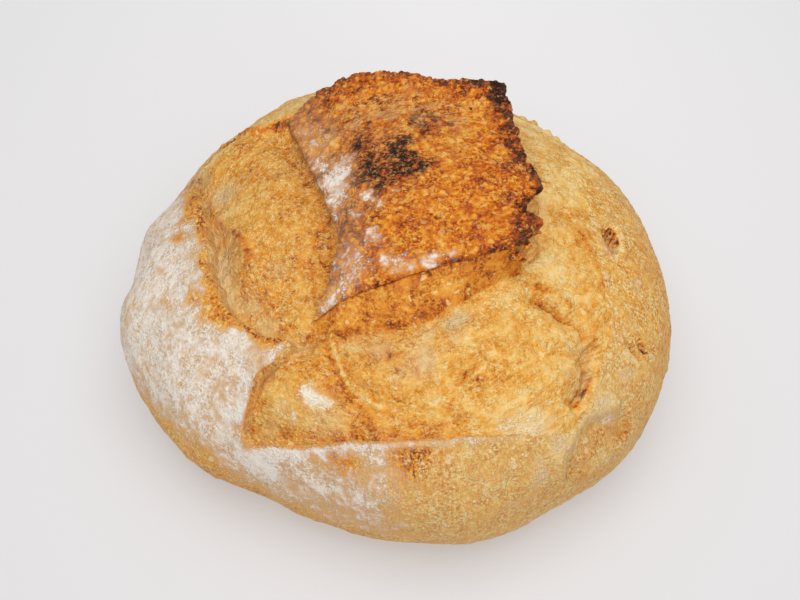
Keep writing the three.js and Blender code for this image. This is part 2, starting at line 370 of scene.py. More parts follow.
@dataclass(frozen=True)
class Dome:
    """The loaf without its ear: a body turned from one section, with a waist whose radius wanders."""

    crown: float = 98.0
    waist: float = 41.0
    power: float = 2.12
    foot_share: float = 0.74
    trim: float = 2.0
    fade: float = 12.0
    radii: tuple[float, ...] = (
        114, 112, 108, 111, 119, 118, 112, 110, 112, 115, 109, 104, 112, 116, 116, 118,
    )
    steps: int = 60

    def waist_radius(self, angle: Array) -> Array:
        """Radius of the waist towards each angle, on a closed Catmull-Rom curve.

        Args:
            angle: directions, in radians.

        Returns:
            The radii, in mm.
        """
        ring = np.asarray(self.radii, dtype=float)
        turn = (angle / (2 * math.pi)) % 1.0 * len(ring)
        at = np.floor(turn).astype(int)
        t = turn - at
        a, b, c, d = (ring[(at + k) % len(ring)] for k in (-1, 0, 1, 2))
        square = 2 * a - 5 * b + 4 * c - d
        cube = 3 * b - a - 3 * c + d
        return 0.5 * (2 * b + (c - a) * t + square * t**2 + cube * t**3)

    def section(self) -> tuple[Array, Array, Array]:
        """Draw the section from the crown to the middle of the foot.

        Returns:
            Radius share, height, and share of the section's length, for each of its points.
        """
        turn = np.linspace(0, math.pi / 2, self.steps + 1)
        top = np.sin(turn) ** (2 / self.power)
        top_z = self.waist + (self.crown - self.waist) * np.clip(np.cos(turn), 0, 1) ** (2 / self.power)
        low = self.foot_share + (1 - self.foot_share) * np.cos(turn[1:])
        low_z = self.waist - (self.waist + self.trim) * np.sin(turn[1:])
        radius = np.concatenate([top, low, [0.0]])
        height = np.concatenate([top_z, low_z, [-self.trim]])
        steps = np.hypot(np.diff(radius) * np.mean(self.radii), np.diff(height))
        length = np.concatenate([[0.0], np.cumsum(steps)])
        return radius, height, length / length[-1]

    def share_of_radius(self, radius: Array) -> Array:
        """Share of the section's length at which its upper side has each radius share."""
        radii, _, shares = self.section()
        return np.interp(radius, radii[: self.steps + 1], shares[: self.steps + 1])

    def place(self, angle: Array, share: Array) -> tuple[Array, Array]:
        """Put points on the smooth dome.

        Args:
            angle: direction of each point from the axis, in radians.
            share: its place on the section, 0 at the crown and 1 in the middle of the foot.

        Returns:
            The points and the outward normals, one row each.
        """
        radii, heights, shares = self.section()
        mean = float(np.mean(self.radii))
        radius = np.interp(share, shares, radii)
        height = np.interp(share, shares, heights)
        step = 2e-3
        run = (np.interp(share + step, shares, radii) - np.interp(share - step, shares, radii)) * mean
        fall = np.interp(share + step, shares, heights) - np.interp(share - step, shares, heights)
        length = np.maximum(np.hypot(run, fall), 1e-9)
        outward, upward = -fall / length, run / length
        reach = radius * self.waist_radius(angle)
        cosine, sine = np.cos(angle), np.sin(angle)
        points = np.stack([reach * cosine, reach * sine, height], axis=1)
        return points, np.stack([outward * cosine, outward * sine, upward], axis=1)

    def polar(self, xy: Array) -> tuple[Array, Array]:
        """Angle and section share of plan points, taken on the upper side.

        Args:
            xy: plan points.

        Returns:
            Angle in radians and section share for each point.
        """
        angle = np.arctan2(xy[:, 1], xy[:, 0])
        radius = np.hypot(xy[:, 0], xy[:, 1]) / self.waist_radius(angle)
        return angle, self.share_of_radius(np.clip(radius, 0, 1))


class LoafForm:
    """The form that all the pieces share: the dome, the opening in its crust, and the relief on both."""

    def __init__(self) -> None:
        """Draw the dome, the opening and the marks."""
        self.dome = Dome()
        self.noise = Noise(11)
        self.lips = [
            (lip, Trail([*lip.points, following.points[0]]))
            for lip, following in zip(LIPS, LIPS[1:] + LIPS[:1])
        ]
        self.folds = [(mark, Trail(mark.points)) for mark in FOLDS]
        self.ridges = [(mark, Trail(mark.points)) for mark in RIDGES]
        self.opening = self._torn_outline()

    def _torn_outline(self) -> Trail:
        """The opening's outline with its small tears, at about one sample a millimetre.

        Returns:
            The closed outline.
        """
        smooth = smooth_curve([p for lip in LIPS for p in lip.points], 24, closed=True)
        flat = np.column_stack([smooth, np.zeros(len(smooth))])
        ragged = np.array(self.lip_value(smooth, "ragged"))
        tear = self.noise.layers(flat, 9.0, 3, 0.6) * ragged * 1.3
        ahead = np.roll(smooth, -1, axis=0) - np.roll(smooth, 1, axis=0)
        ahead /= np.linalg.norm(ahead, axis=1, keepdims=True)
        moved = smooth + tear[:, None] * np.column_stack([ahead[:, 1], -ahead[:, 0]])
        return Trail(moved, closed=True, steps=1)

    def lip_value(self, xy: Array, name: str) -> Array:
        """A value that the lips give, blended from the nearest ones.

        Args:
            xy: plan points.
            name: the field of Lip to read.

        Returns:
            The value at each point.
        """
        total = np.zeros(len(xy))
        weights = np.full(len(xy), 1e-9)
        for lip, trail in self.lips:
            distance, _, _ = trail.measure(xy)
            weight = 1.0 / np.square(distance + 0.5)
            total += weight * getattr(lip, name)
            weights += weight
        return total / weights

    def lip_distance(self, xy: Array) -> tuple[Array, Array]:
        """Signed distance from the torn outline, positive on the crust, and the nearest point on it."""
        distance, _, nearest = self.opening.measure(xy, 40.0)
        return np.where(self.opening.inside(xy), -distance, distance), nearest

    def swelling(self, p: Array) -> Array:
        """Swellings and slow unevenness that the outer crust and the bloom share.

        Args:
            p: points on the smooth dome.

        Returns:
            The height along the normal at each point.
        """
        x, y, z = p[:, 0], p[:, 1], p[:, 2]
        height = 0.9 * np.sin(x / 17 + 1.3) * np.cos(y / 21 + 0.4)
        height += 0.7 * np.sin((x + y) / 13 + z / 19)
        height += 0.6 * np.cos((y - x) / 11 - z / 14 + 2.1)
        for bulge in BULGES:
            height += bulge.height * bell(np.linalg.norm(p - np.array(bulge.at), axis=1), bulge.radius)
        return height

    def lip_effect(self, xy: Array, amount: str, width: str) -> Array:
        """What the lips do to plan points, blended where two of them meet.

        Args:
            xy: plan points.
            amount: the field of Lip with the height.
            width: the field of Lip with the width over which it fades.

        Returns:
            The height at each point.
        """
        effect = np.zeros(len(xy))
        total = np.full(len(xy), 1e-9)
        for lip, trail in self.lips:
            near = bell(trail.measure(xy, 45.0)[0], getattr(lip, width))
            effect += getattr(lip, amount) * near**2
            total += near
        return effect / total

    def marks(self, xy: Array, marks: Sequence[tuple[Mark, Trail]]) -> Array:
        """Height that folds or ridges add at plan points.

        Args:
            xy: plan points.
            marks: the folds or ridges, with their lines.

        Returns:
            The height at each point.
        """
        height = np.zeros(len(xy))
        for mark, trail in marks:
            distance, along, _ = trail.measure(xy, 4 * mark.width)
            height += mark.height * bell(distance, mark.width) * tapered(along, 0.15)
        return height

    def crust_relief(self, p: Array) -> Array:
        """Relief of the outer crust along its normal."""
        return self.swelling(p) + CRUST_STEP / 2 + self.lip_effect(p[:, :2], "rise", "reach")

    def bloom_relief(self, p: Array) -> Array:
        """Relief of the bloom along its normal, without its fine structure."""
        height = self.swelling(p) - CRUST_STEP / 2 - self.lip_effect(p[:, :2], "drop", "run")
        return height + self.marks(p[:, :2], self.folds) + self.marks(p[:, :2], self.ridges)

    def golden(self, p: Array) -> Array:
        """Bake that the bloom and the crust beside it share, deepest at the left and palest at the back."""
        bake = 0.535 - 0.12 * smoothstep(45, 85, p[:, 1]) - 0.14 * smoothstep(-30, 65, p[:, 0])
        return bake + 0.05 * self.noise.layers(p, 9.0, 3)

    def foot_fade(self, p: Array) -> Array:
        """1 above the foot and 0 at it, so that the foot stays flat."""
        return smoothstep(0, self.dome.fade, p[:, 2])

    def bloom_height(self, xy: Array) -> Array:
        """Height of the bloom's surface over plan points, in mm."""
        points, normals = self.dome.place(*self.dome.polar(xy))
        return (points + normals * self.bloom_relief(points)[:, None])[:, 2]


# ---- Finishes ------------------------------------------------------------------------------------

Socket = bpy.types.NodeSocket
Feed = Socket | float | tuple[float, ...]
Colour = tuple[int, int, int]
Ramp = tuple[tuple[float, Colour], ...]


def linear(colour: Colour) -> tuple[float, float, float, float]:
    """An 8-bit display colour as Blender's linear one."""
    parts = [c / 255 for c in colour]
    return (*[c / 12.92 if c <= 0.04045 else ((c + 0.055) / 1.055) ** 2.4 for c in parts], 1.0)


class Mask(Enum):
    """The vertex attributes that the finishes read."""

    BAKE = "bake"  # 0 is pale crumb and 1 is charred
    FLOUR = "flour"  # 0 is bare and 1 is thickly floured
    CREST = "crest"  # -1 in a hollow of the fine relief and 1 on a crest
    SHADE = "shade"  # 1 where damp, greyish crumb lies deep in a tear
    WEB = "web"  # how clearly the pale strands show
    BLISTER = "blister"  # how clearly the pale blisters show


DRAWN = "drawn"  # coordinates that are stretched along the dough's grain, in metres


@dataclass(frozen=True)
class Wave:
    """Noise with features of a size in mm, and what it adds to the bake, the height and the flour."""

    size: float
    bake: float
    height: float = 0.0
    flour: float = 0.0
    drawn: bool = False  # whether it follows the grain
    most: float = 1.0  # where its darker side is cut off, which leaves pale flecks on an even ground


@dataclass(frozen=True)
class Spots:
    """Scattered discs, one in a share of the cells of a size in mm, each up to radius cells wide.

    A colour lies over the disc by an amount, or the bake shifts there where no colour is given. The rim
    round it bakes darker.
    """

    size: float
    share: float
    radius: float
    amount: float
    colour: Colour | None = None
    rim: float = 0.0
    height: float = 0.0


@dataclass(frozen=True)
class BakedFinish:
    """Baked dough: a ramp from pale to dark read through the bake mask, broken up by noise.

    A web of pale strands and pale blisters lie over it, and flour on top.
    """

    name: str
    ramp: Ramp
    waves: tuple[Wave, ...]
    spots: tuple[Spots, ...]
    fine: float = 2.0  # waves smaller than this, in mm, swell and fade from patch to patch
    patchwork: float = 8.0  # size of those patches, in mm
    strands: tuple[float, ...] = (3.1, 1.9)  # spacing of those at random and of those along the grain, mm
    strand_amount: float = 0.5
    strand_height: float = 0.4
    strand_colour: Colour = (242, 206, 134)
    crest: float = -0.06  # what a crest adds to the bake
    roughness: float = 0.5
    specular: float = 0.2
    bump: float = 0.6
    flour_colour: Colour = (238, 229, 217)
    veil_colour: Colour = (205, 166, 130)
    veil: float = 0.7  # how far a thin film of flour hides the crust
    dusting: tuple[float, float] = (0.1, 1.1)  # dust at which flour starts to show, and at which it covers
    cover: float = 0.96  # how far thick flour hides the crust
    floured_roughness: float = 0.95
    crumb_colour: Colour = (196, 166, 120)
    crumb: float = 0.8  # how far damp crumb hides the bake
    charred: tuple[float, float] = (1.15, 0.65)  # bakes at which strands and blisters are gone, and whole
    relief: float = 0.6  # what a height of 1 stands for in the bump, mm

    def make(self) -> bpy.types.Material:
        """Build the material.

        Returns:
            The Blender material.
        """
        material = bpy.data.materials.new(self.name)
        material.use_nodes = True
        tree = NodeTree(material)
        space = tree.node("TexCoord").outputs["Object"]
        drawn = tree.attribute_vector(DRAWN)
        stirred = tree.stirred(space, size=3.0, reach=1.0)
        lively = tree.blend(tree.step(tree.wave(stirred, self.patchwork), -0.9, 0.9), 0.35, 1.6)
        bakes = [tree.attribute(Mask.BAKE), tree.times(tree.attribute(Mask.CREST), self.crest)]
        dust, heights, discs = [tree.attribute(Mask.FLOUR)], [], []
        for wave in self.waves:
            value = tree.wave(drawn if wave.drawn else space, wave.size)
            if wave.size < self.fine:
                value = tree.times(value, lively)
            cut = tree.least(value, wave.most) if wave.most < 1 else value
            parts = ((bakes, cut, wave.bake), (heights, value, wave.height), (dust, value, wave.flour))
            for total, part, amount in parts:
                if amount:
                    total.append(tree.times(part, amount))
        for spots in self.spots:
            disc, rim = tree.discs(stirred, spots)
            if spots.colour:
                disc = tree.times(disc, tree.attribute(Mask.BLISTER))
                discs.append((disc, spots))
            else:
                bakes.append(tree.times(disc, spots.amount))
            if spots.rim:
                bakes.append(tree.times(tree.times(rim, tree.attribute(Mask.BLISTER)), spots.rim))
            if spots.height:
                heights.append(tree.times(disc, spots.height))
        strands = tree.most(tree.strands(stirred, self.strands[0]), tree.strands(drawn, self.strands[1]))
        strands = tree.times(strands, tree.attribute(Mask.WEB))
        heights.append(tree.times(strands, self.strand_height))

        bake = tree.total(bakes)
        uncharred = tree.step(bake, *self.charred)
        colour = tree.ramp(bake, [(at, linear(c)) for at, c in self.ramp])
        damp = tree.times(tree.attribute(Mask.SHADE), self.crumb)
        colour = tree.mix(damp, colour, linear(self.crumb_colour))
        strands = tree.times(tree.times(strands, self.strand_amount), uncharred)
        colour = tree.mix(strands, colour, linear(self.strand_colour))
        for disc, spots in discs:
            disc = tree.times(disc, uncharred)
            colour = tree.mix(tree.times(disc, spots.amount), colour, linear(spots.colour))
        floured = tree.step(tree.attribute(Mask.FLOUR), 0.0, 0.12)
        veil = tree.times(tree.step(tree.attribute(Mask.FLOUR), 0.0, 0.7), self.veil)
        colour = tree.mix(veil, colour, linear(self.veil_colour))
        cover = tree.times(tree.times(tree.step(tree.total(dust), *self.dusting), floured), self.cover)
        colour = tree.mix(cover, colour, linear(self.flour_colour))

        tree.shade({
            "Base Color": colour,
            "Roughness": tree.blend(tree.most(cover, veil), self.roughness, self.floured_roughness),
            "Specular IOR Level": self.specular,
            "Normal": tree.bump(tree.total(heights), self.bump, self.relief),
        })
        return material


class NodeTree:
    """Short names for the shader nodes that the finishes use."""

    DETAIL = 1.5  # layers of each noise
    GAIN = 5.0  # brings a noise about its middle to about -1 to 1
    STRAND = 0.045  # half the width of a strand, in the noise's own values
    DISC_EDGE = 0.2  # width of a disc's soft edge, in cells
    RIM = (0.22, 0.02)  # from where to where the rim round a disc fades in, in cells

    def __init__(self, material: bpy.types.Material) -> None:
        """Take over a material's node tree.

        Args:
            material: the material, with its nodes switched on.
        """
        self.nodes = material.node_tree.nodes
        self.links = material.node_tree.links
        self.shader = self.nodes["Principled BSDF"]

    def _feed(self, feed: Feed, end: Socket) -> None:
        """Join an output to an input, or set the input to a value.

        Args:
            feed: the output or the value.
            end: the input.
        """
        if isinstance(feed, bpy.types.NodeSocket):
            self.links.new(feed, end)
        else:
            end.default_value = feed

    def node(self, kind: str, inputs: dict[str | int, Feed] | None = None, **settings: str) -> bpy.types.Node:
        """Add a node.

        Args:
            kind: its type, without the part that all shader nodes share.
            inputs: what goes into its inputs, by their names or places.
            settings: its other properties.

        Returns:
            The node.
        """
        node = self.nodes.new("ShaderNode" + kind)
        for name, setting in settings.items():
            setattr(node, name, setting)
        for key, feed in (inputs or {}).items():
            self._feed(feed, node.inputs[key])
        return node

    def shade(self, sockets: dict[str, Feed]) -> None:
        """Feed the shader's sockets."""
        for name, feed in sockets.items():
            self._feed(feed, self.shader.inputs[name])

    def attribute(self, mask: Mask) -> Socket:
        """Read a mask."""
        return self.node("Attribute", attribute_name=mask.value).outputs["Fac"]

    def attribute_vector(self, name: str) -> Socket:
        """Read a vector attribute."""
        return self.node("Attribute", attribute_name=name).outputs["Vector"]

    def _noise(self, space: Socket, size: float) -> bpy.types.Node:
        """Add a noise node with features of a size in mm."""
        return self.node("TexNoise", {"Vector": space, "Scale": 1.0 / (size * METRE), "Detail": self.DETAIL})

    def wave(self, space: Socket, size: float) -> Socket:
        """Noise about 0 that mostly stays between -1 and 1, with features of a size in mm."""
        centred = self._math("SUBTRACT", self._noise(space, size).outputs["Fac"], 0.5)
        return self._math("MULTIPLY", centred, self.GAIN)

    def stirred(self, space: Socket, size: float, reach: float) -> Socket:
        """Coordinates pushed about by noise.

        Args:
            space: the coordinates, in metres.
            size: width of the noise's features, in mm.
            reach: how far it mostly pushes, in mm.

        Returns:
            The new coordinates.
        """
        centred = self.vector("SUBTRACT", self._noise(space, size).outputs["Color"], (0.5, 0.5, 0.5))
        push = (self.GAIN * reach * METRE,) * 3
        return self.node("VectorMath", {0: centred, 1: push, 2: space}, operation="MULTIPLY_ADD").outputs[0]

    def strands(self, space: Socket, size: float) -> Socket:
        """Thin curled lines, 1 on a line, that lie about a size in mm apart."""
        off = self._math("SUBTRACT", self._noise(space, size).outputs["Fac"], 0.5)
        return self.step(self._math("ABSOLUTE", off, 0.0), self.STRAND, 0.0)

    def discs(self, space: Socket, spots: Spots) -> tuple[Socket, Socket]:
        """Scattered discs of uneven size.

        Args:
            space: coordinates, in metres.
            spots: how large and how many they are.

        Returns:
            A value that is 1 within a disc, and one that is 1 on the rim round it.
        """
        cells = self.node("TexVoronoi", {"Vector": space, "Scale": 1.0 / (spots.size * METRE)})
        draw = self.node("SeparateColor", {0: cells.outputs["Color"]}).outputs[0]
        radius = self.times(self.step(draw, 1 - spots.share, 1.0), spots.radius + self.DISC_EDGE / 2)
        off = self._math("SUBTRACT", cells.outputs["Distance"], radius)
        disc = self.step(off, 0.0, -self.DISC_EDGE)
        return disc, self._math("SUBTRACT", self.step(off, *self.RIM), disc)

    def _math(self, operation: str, a: Feed, b: Feed) -> Socket:
        """Add a Math node and return its output."""
        return self.node("Math", {0: a, 1: b}, operation=operation).outputs[0]

    def vector(self, operation: str, a: Socket, b: Feed = (0.0, 0.0, 0.0)) -> Socket:
        """Add a Vector Math node and return its output, which is a number for a length."""
        node = self.node("VectorMath", {0: a, 1: b}, operation=operation)
        return node.outputs["Value" if operation == "LENGTH" else "Vector"]

    def total(self, values: Sequence[Socket]) -> Socket:
        """Sum of values."""
        return reduce(lambda a, b: self._math("ADD", a, b), values)

    def times(self, a: Socket, b: Feed) -> Socket:
        """Product of two values."""
        return self._math("MULTIPLY", a, b)

    def most(self, a: Socket, b: Socket) -> Socket:
        """Larger of two values."""
        return self._math("MAXIMUM", a, b)

    def least(self, a: Socket, b: Feed) -> Socket:
        """Smaller of two values."""
        return self._math("MINIMUM", a, b)

    def _map(self, value: Socket, ends: tuple[float, float, float, float], **settings: str) -> Socket:
        """Add a Map Range node, which takes the first two ends to the last two, and return its output."""
        inputs = dict(zip(("From Min", "From Max", "To Min", "To Max"), ends))
        return self.node("MapRange", {"Value": value, **inputs}, **settings).outputs["Result"]

    def step(self, value: Socket, low: float, high: float) -> Socket:
        """Smooth step from 0 at low to 1 at high; low may be the larger of the two."""
        ends = (low, high, 0.0, 1.0) if high > low else (high, low, 1.0, 0.0)
        return self._map(value, ends, interpolation_type="SMOOTHSTEP")

    def blend(self, share: Socket, low: float, high: float) -> Socket:
        """Number from low to high, by a share."""
        return self._map(share, (0.0, 1.0, low, high))

    def ramp(self, value: Socket, stops: Sequence[tuple[float, tuple[float, ...]]]) -> Socket:
        """Colour from a ramp.

        Args:
            value: where to read it, from 0 to 1.
            stops: places on it and their colours.

        Returns:
            The colour.
        """
        node = self.node("ValToRGB", {"Fac": value})
        elements = node.color_ramp.elements
        while len(elements) < len(stops):
            elements.new(0.5)
        for element, (at, colour) in zip(elements, stops):
            element.position = at
            element.color = colour
        return node.outputs["Color"]

    def mix(self, share: Socket, under: Socket, over: tuple[float, ...]) -> Socket:
        """Lay a colour over another.

        Args:
            share: how far it covers.
            under: the colour below.
            over: the colour above.

        Returns:
            The colour that shows.
        """
        node = self.node("Mix", data_type="RGBA")
        ends = {end.identifier: end for end in node.inputs}
        for name, feed in (("Factor_Float", share), ("A_Color", under), ("B_Color", over)):
            self._feed(feed, ends[name])
        return next(out for out in node.outputs if out.identifier == "Result_Color")

    def bump(self, height: Socket, strength: float, depth: float) -> Socket:
        """Normal bent by a height, where 1 stands for a depth in mm."""
        inputs = {"Strength": strength, "Distance": depth * METRE, "Height": height}
        return self.node("Bump", inputs).outputs["Normal"]


GOLDEN = (
    (0.0, (238, 214, 160)),
    (0.2, (236, 198, 126)),
    (0.35, (230, 176, 86)),
    (0.5, (222, 152, 52)),
    (0.62, (214, 134, 34)),
    (0.74, (200, 112, 26)),
    (0.86, (160, 78, 22)),
    (1.0, (84, 46, 22)),
)
BURNT = (
    (0.0, (238, 184, 104)),
    (0.2, (228, 160, 62)),
    (0.36, (216, 132, 26)),
    (0.5, (198, 100, 12)),
    (0.62, (168, 72, 16)),
    (0.74, (126, 50, 18)),
    (0.86, (82, 36, 20)),
    (1.0, (44, 26, 20)),
)
# Pores: small sunk discs whose raised bake darkens them, a painted shade inside them.
PORES = Spots(3.4, 0.3, 0.1, 0.25, height=-0.8)
CRUST_FINISH = BakedFinish(
    name="outer_crust",
    ramp=GOLDEN,
    waves=(
        Wave(11.0, 0.05, flour=0.16),
        Wave(4.6, 0.07, flour=0.24),
        Wave(2.4, 0.10, 0.2, 0.18),
        Wave(1.3, 0.26, 0.3, 0.26, most=0.5),
        Wave(0.8, 0.20, 0.2, 0.24, most=0.5),
        Wave(1.7, 0.09, 0.15, 0.14, drawn=True, most=0.5),
    ),
    spots=(
        Spots(5.0, 0.35, 0.42, 0.55, (238, 212, 160), 0.06, 0.5),
        Spots(1.9, 0.45, 0.4, 0.6, (242, 218, 168), 0.06, 0.4),
        PORES,
    ),
    strand_amount=0.4,
    crest=-0.02,
    roughness=0.58,
    bump=0.8,
)
BLOOM_FINISH = BakedFinish(
    name="bloom",
    ramp=GOLDEN,
    waves=(
        Wave(8.0, 0.08),
        Wave(3.4, 0.09, 0.25),
        Wave(5.0, 0.08, 0.2, drawn=True),
        Wave(1.5, 0.14, 0.3, 0.3, most=0.35),
        Wave(0.8, 0.11, 0.2, 0.3, most=0.45),
        Wave(1.8, 0.10, 0.2, drawn=True, most=0.5),
    ),
    spots=(Spots(2.6, 0.4, 0.4, 0.5, (242, 214, 152), 0.05, 0.4), PORES),
    strand_amount=0.8,
    crest=-0.08,
    bump=0.9,
    crumb_colour=(206, 184, 148),
    flour_colour=(240, 230, 208),
    veil_colour=(226, 190, 140),
)
EAR_FINISH = BakedFinish(
    name="ear_crust",
    ramp=BURNT,
    waves=(
        Wave(6.5, 0.10),
        Wave(2.6, 0.12, 0.2, 0.32, most=0.6),
        Wave(1.4, 0.16, 0.3, 0.22, most=0.5),
        Wave(0.8, 0.14, 0.1, 0.24, most=0.5),
    ),
    spots=(
        Spots(3.6, 0.6, 0.40, 0.4, (238, 186, 106), 0.05, 0.35),
        Spots(2.0, 0.6, 0.40, 0.4, (240, 194, 120), 0.04, 0.3),
    ),
    strand_colour=(234, 180, 104),
    crest=-0.21,
    roughness=0.42,
    specular=0.13,
    bump=1.0,
    veil_colour=(204, 146, 96),
    dusting=(0.12, 1.15),
)
TORN_FINISH = BakedFinish(
    name="ear_dough",
    ramp=GOLDEN,
    waves=(Wave(6.0, 0.08), Wave(2.4, 0.12, 0.3), Wave(1.3, 0.14, 0.3), Wave(1.5, 0.08, 0.2, drawn=True)),
    spots=(PORES,),
)


# ---- Pieces --------------------------------------------------------------------------------------


@dataclass
class Piece:
    """A piece of the loaf: placed in its coarse form, given its fine relief, masked and dressed."""

    form: LoafForm
    name: str = ""
    slot: str = ""
    finish: BakedFinish = CRUST_FINISH
    upright: float = 1.0  # how much a difference in height counts where patches are laid

    def start(self) -> bmesh.types.BMesh:
        """Make the mesh that is then moved into place."""
        raise NotImplementedError

    def place(self, raw: Array) -> Array:
        """Move the start mesh's points into the coarse form, in mm."""
        raise NotImplementedError

    def relief(self, p: Array) -> Array:
        """Fine relief along the normal, in mm."""
        raise NotImplementedError

    def masks(self, p: Array, crest: Array) -> dict[Mask, Array]:
        """Values of the masks at the points."""
        raise NotImplementedError

    def drawn(self, p: Array) -> Array:
        """Coordinates stretched along the dough's grain, in mm."""
        return p

    def patches(self, p: Array, patches: Sequence[Patch], spread: float = 1.0) -> Array:
        """Sum of what patches add at points.

        Args:
            p: the points.
            patches: the patches.
            spread: how much wider than its radius each one is.

        Returns:
            The sum at each point.
        """
        total = np.zeros(len(p))
        for patch in patches:
            gap = np.linalg.norm((p - np.array(patch.at)) * (1, 1, self.upright), axis=1)
            total += patch.amount * bell(gap, patch.radius * spread)
        return total

    def lines(self, xy: Array, marks: Sequence[Mark], value: str, spread: float = 1.0) -> Array:
        """Sum of what fine marks add at plan points.

        Args:
            xy: plan points.
            marks: the marks.
            value: the field of Mark to add, at the middle of each.
            spread: how much wider than its width each one is.

        Returns:
            The sum at each point.
        """
        total = np.zeros(len(xy))
        for mark in marks:
            amount = getattr(mark, value)
            if amount:
                distance, along, _ = Trail(mark.points).measure(xy, 4 * mark.width * spread)
                total += amount * bell(distance, mark.width * spread) * tapered(along, 0.12)
        return total

    def build(self) -> bpy.types.Object:
        """Returns:
            The finished object.
        """
        bm = self.start()
        mesh = bpy.data.meshes.new(self.name)
        bmesh.ops.recalc_face_normals(bm, faces=bm.faces)
        bm.to_mesh(mesh)
        bm.free()
        count = len(mesh.vertices)
        raw = np.empty(count * 3)
        mesh.vertices.foreach_get("co", raw)
        p = self.place(raw.reshape(-1, 3))
        mesh.vertices.foreach_set("co", (p + DOME_PLACE).ravel() * METRE)
        mesh.update()
        normals = np.empty(count * 3)
        mesh.vertices.foreach_get("normal", normals)
        height = self.relief(p)
        p = p + normals.reshape(-1, 3) * height[:, None]
        mesh.vertices.foreach_set("co", (p + DOME_PLACE).ravel() * METRE)
        crest = np.clip((height - np.median(height)) / (2 * np.std(height) + 1e-9), -1, 1)
        masks = {Mask.FLOUR: np.zeros(count), Mask.SHADE: np.zeros(count)}
        masks |= {Mask.WEB: np.ones(count), Mask.BLISTER: np.ones(count)}
        masks |= {Mask.CREST: crest} | self.masks(p, crest)
        for mask, values in masks.items():
            layer = mesh.attributes.new(mask.value, "FLOAT", "POINT")
            layer.data.foreach_set("value", np.asarray(values, dtype=np.float32))
        layer = mesh.attributes.new(DRAWN, "FLOAT_VECTOR", "POINT")
        layer.data.foreach_set("vector", (self.drawn(p) * METRE).astype(np.float32).ravel())
        mesh.shade_smooth()
        mesh.update()
        piece = bpy.data.objects.new(self.name, mesh)
        bpy.context.scene.collection.objects.link(piece)
        mesh.materials.append(self.finish.make())
        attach(piece, "root")
        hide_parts(NODE)
        log.info("%s: %d points, %d faces", self.name, count, len(mesh.polygons))
        return piece


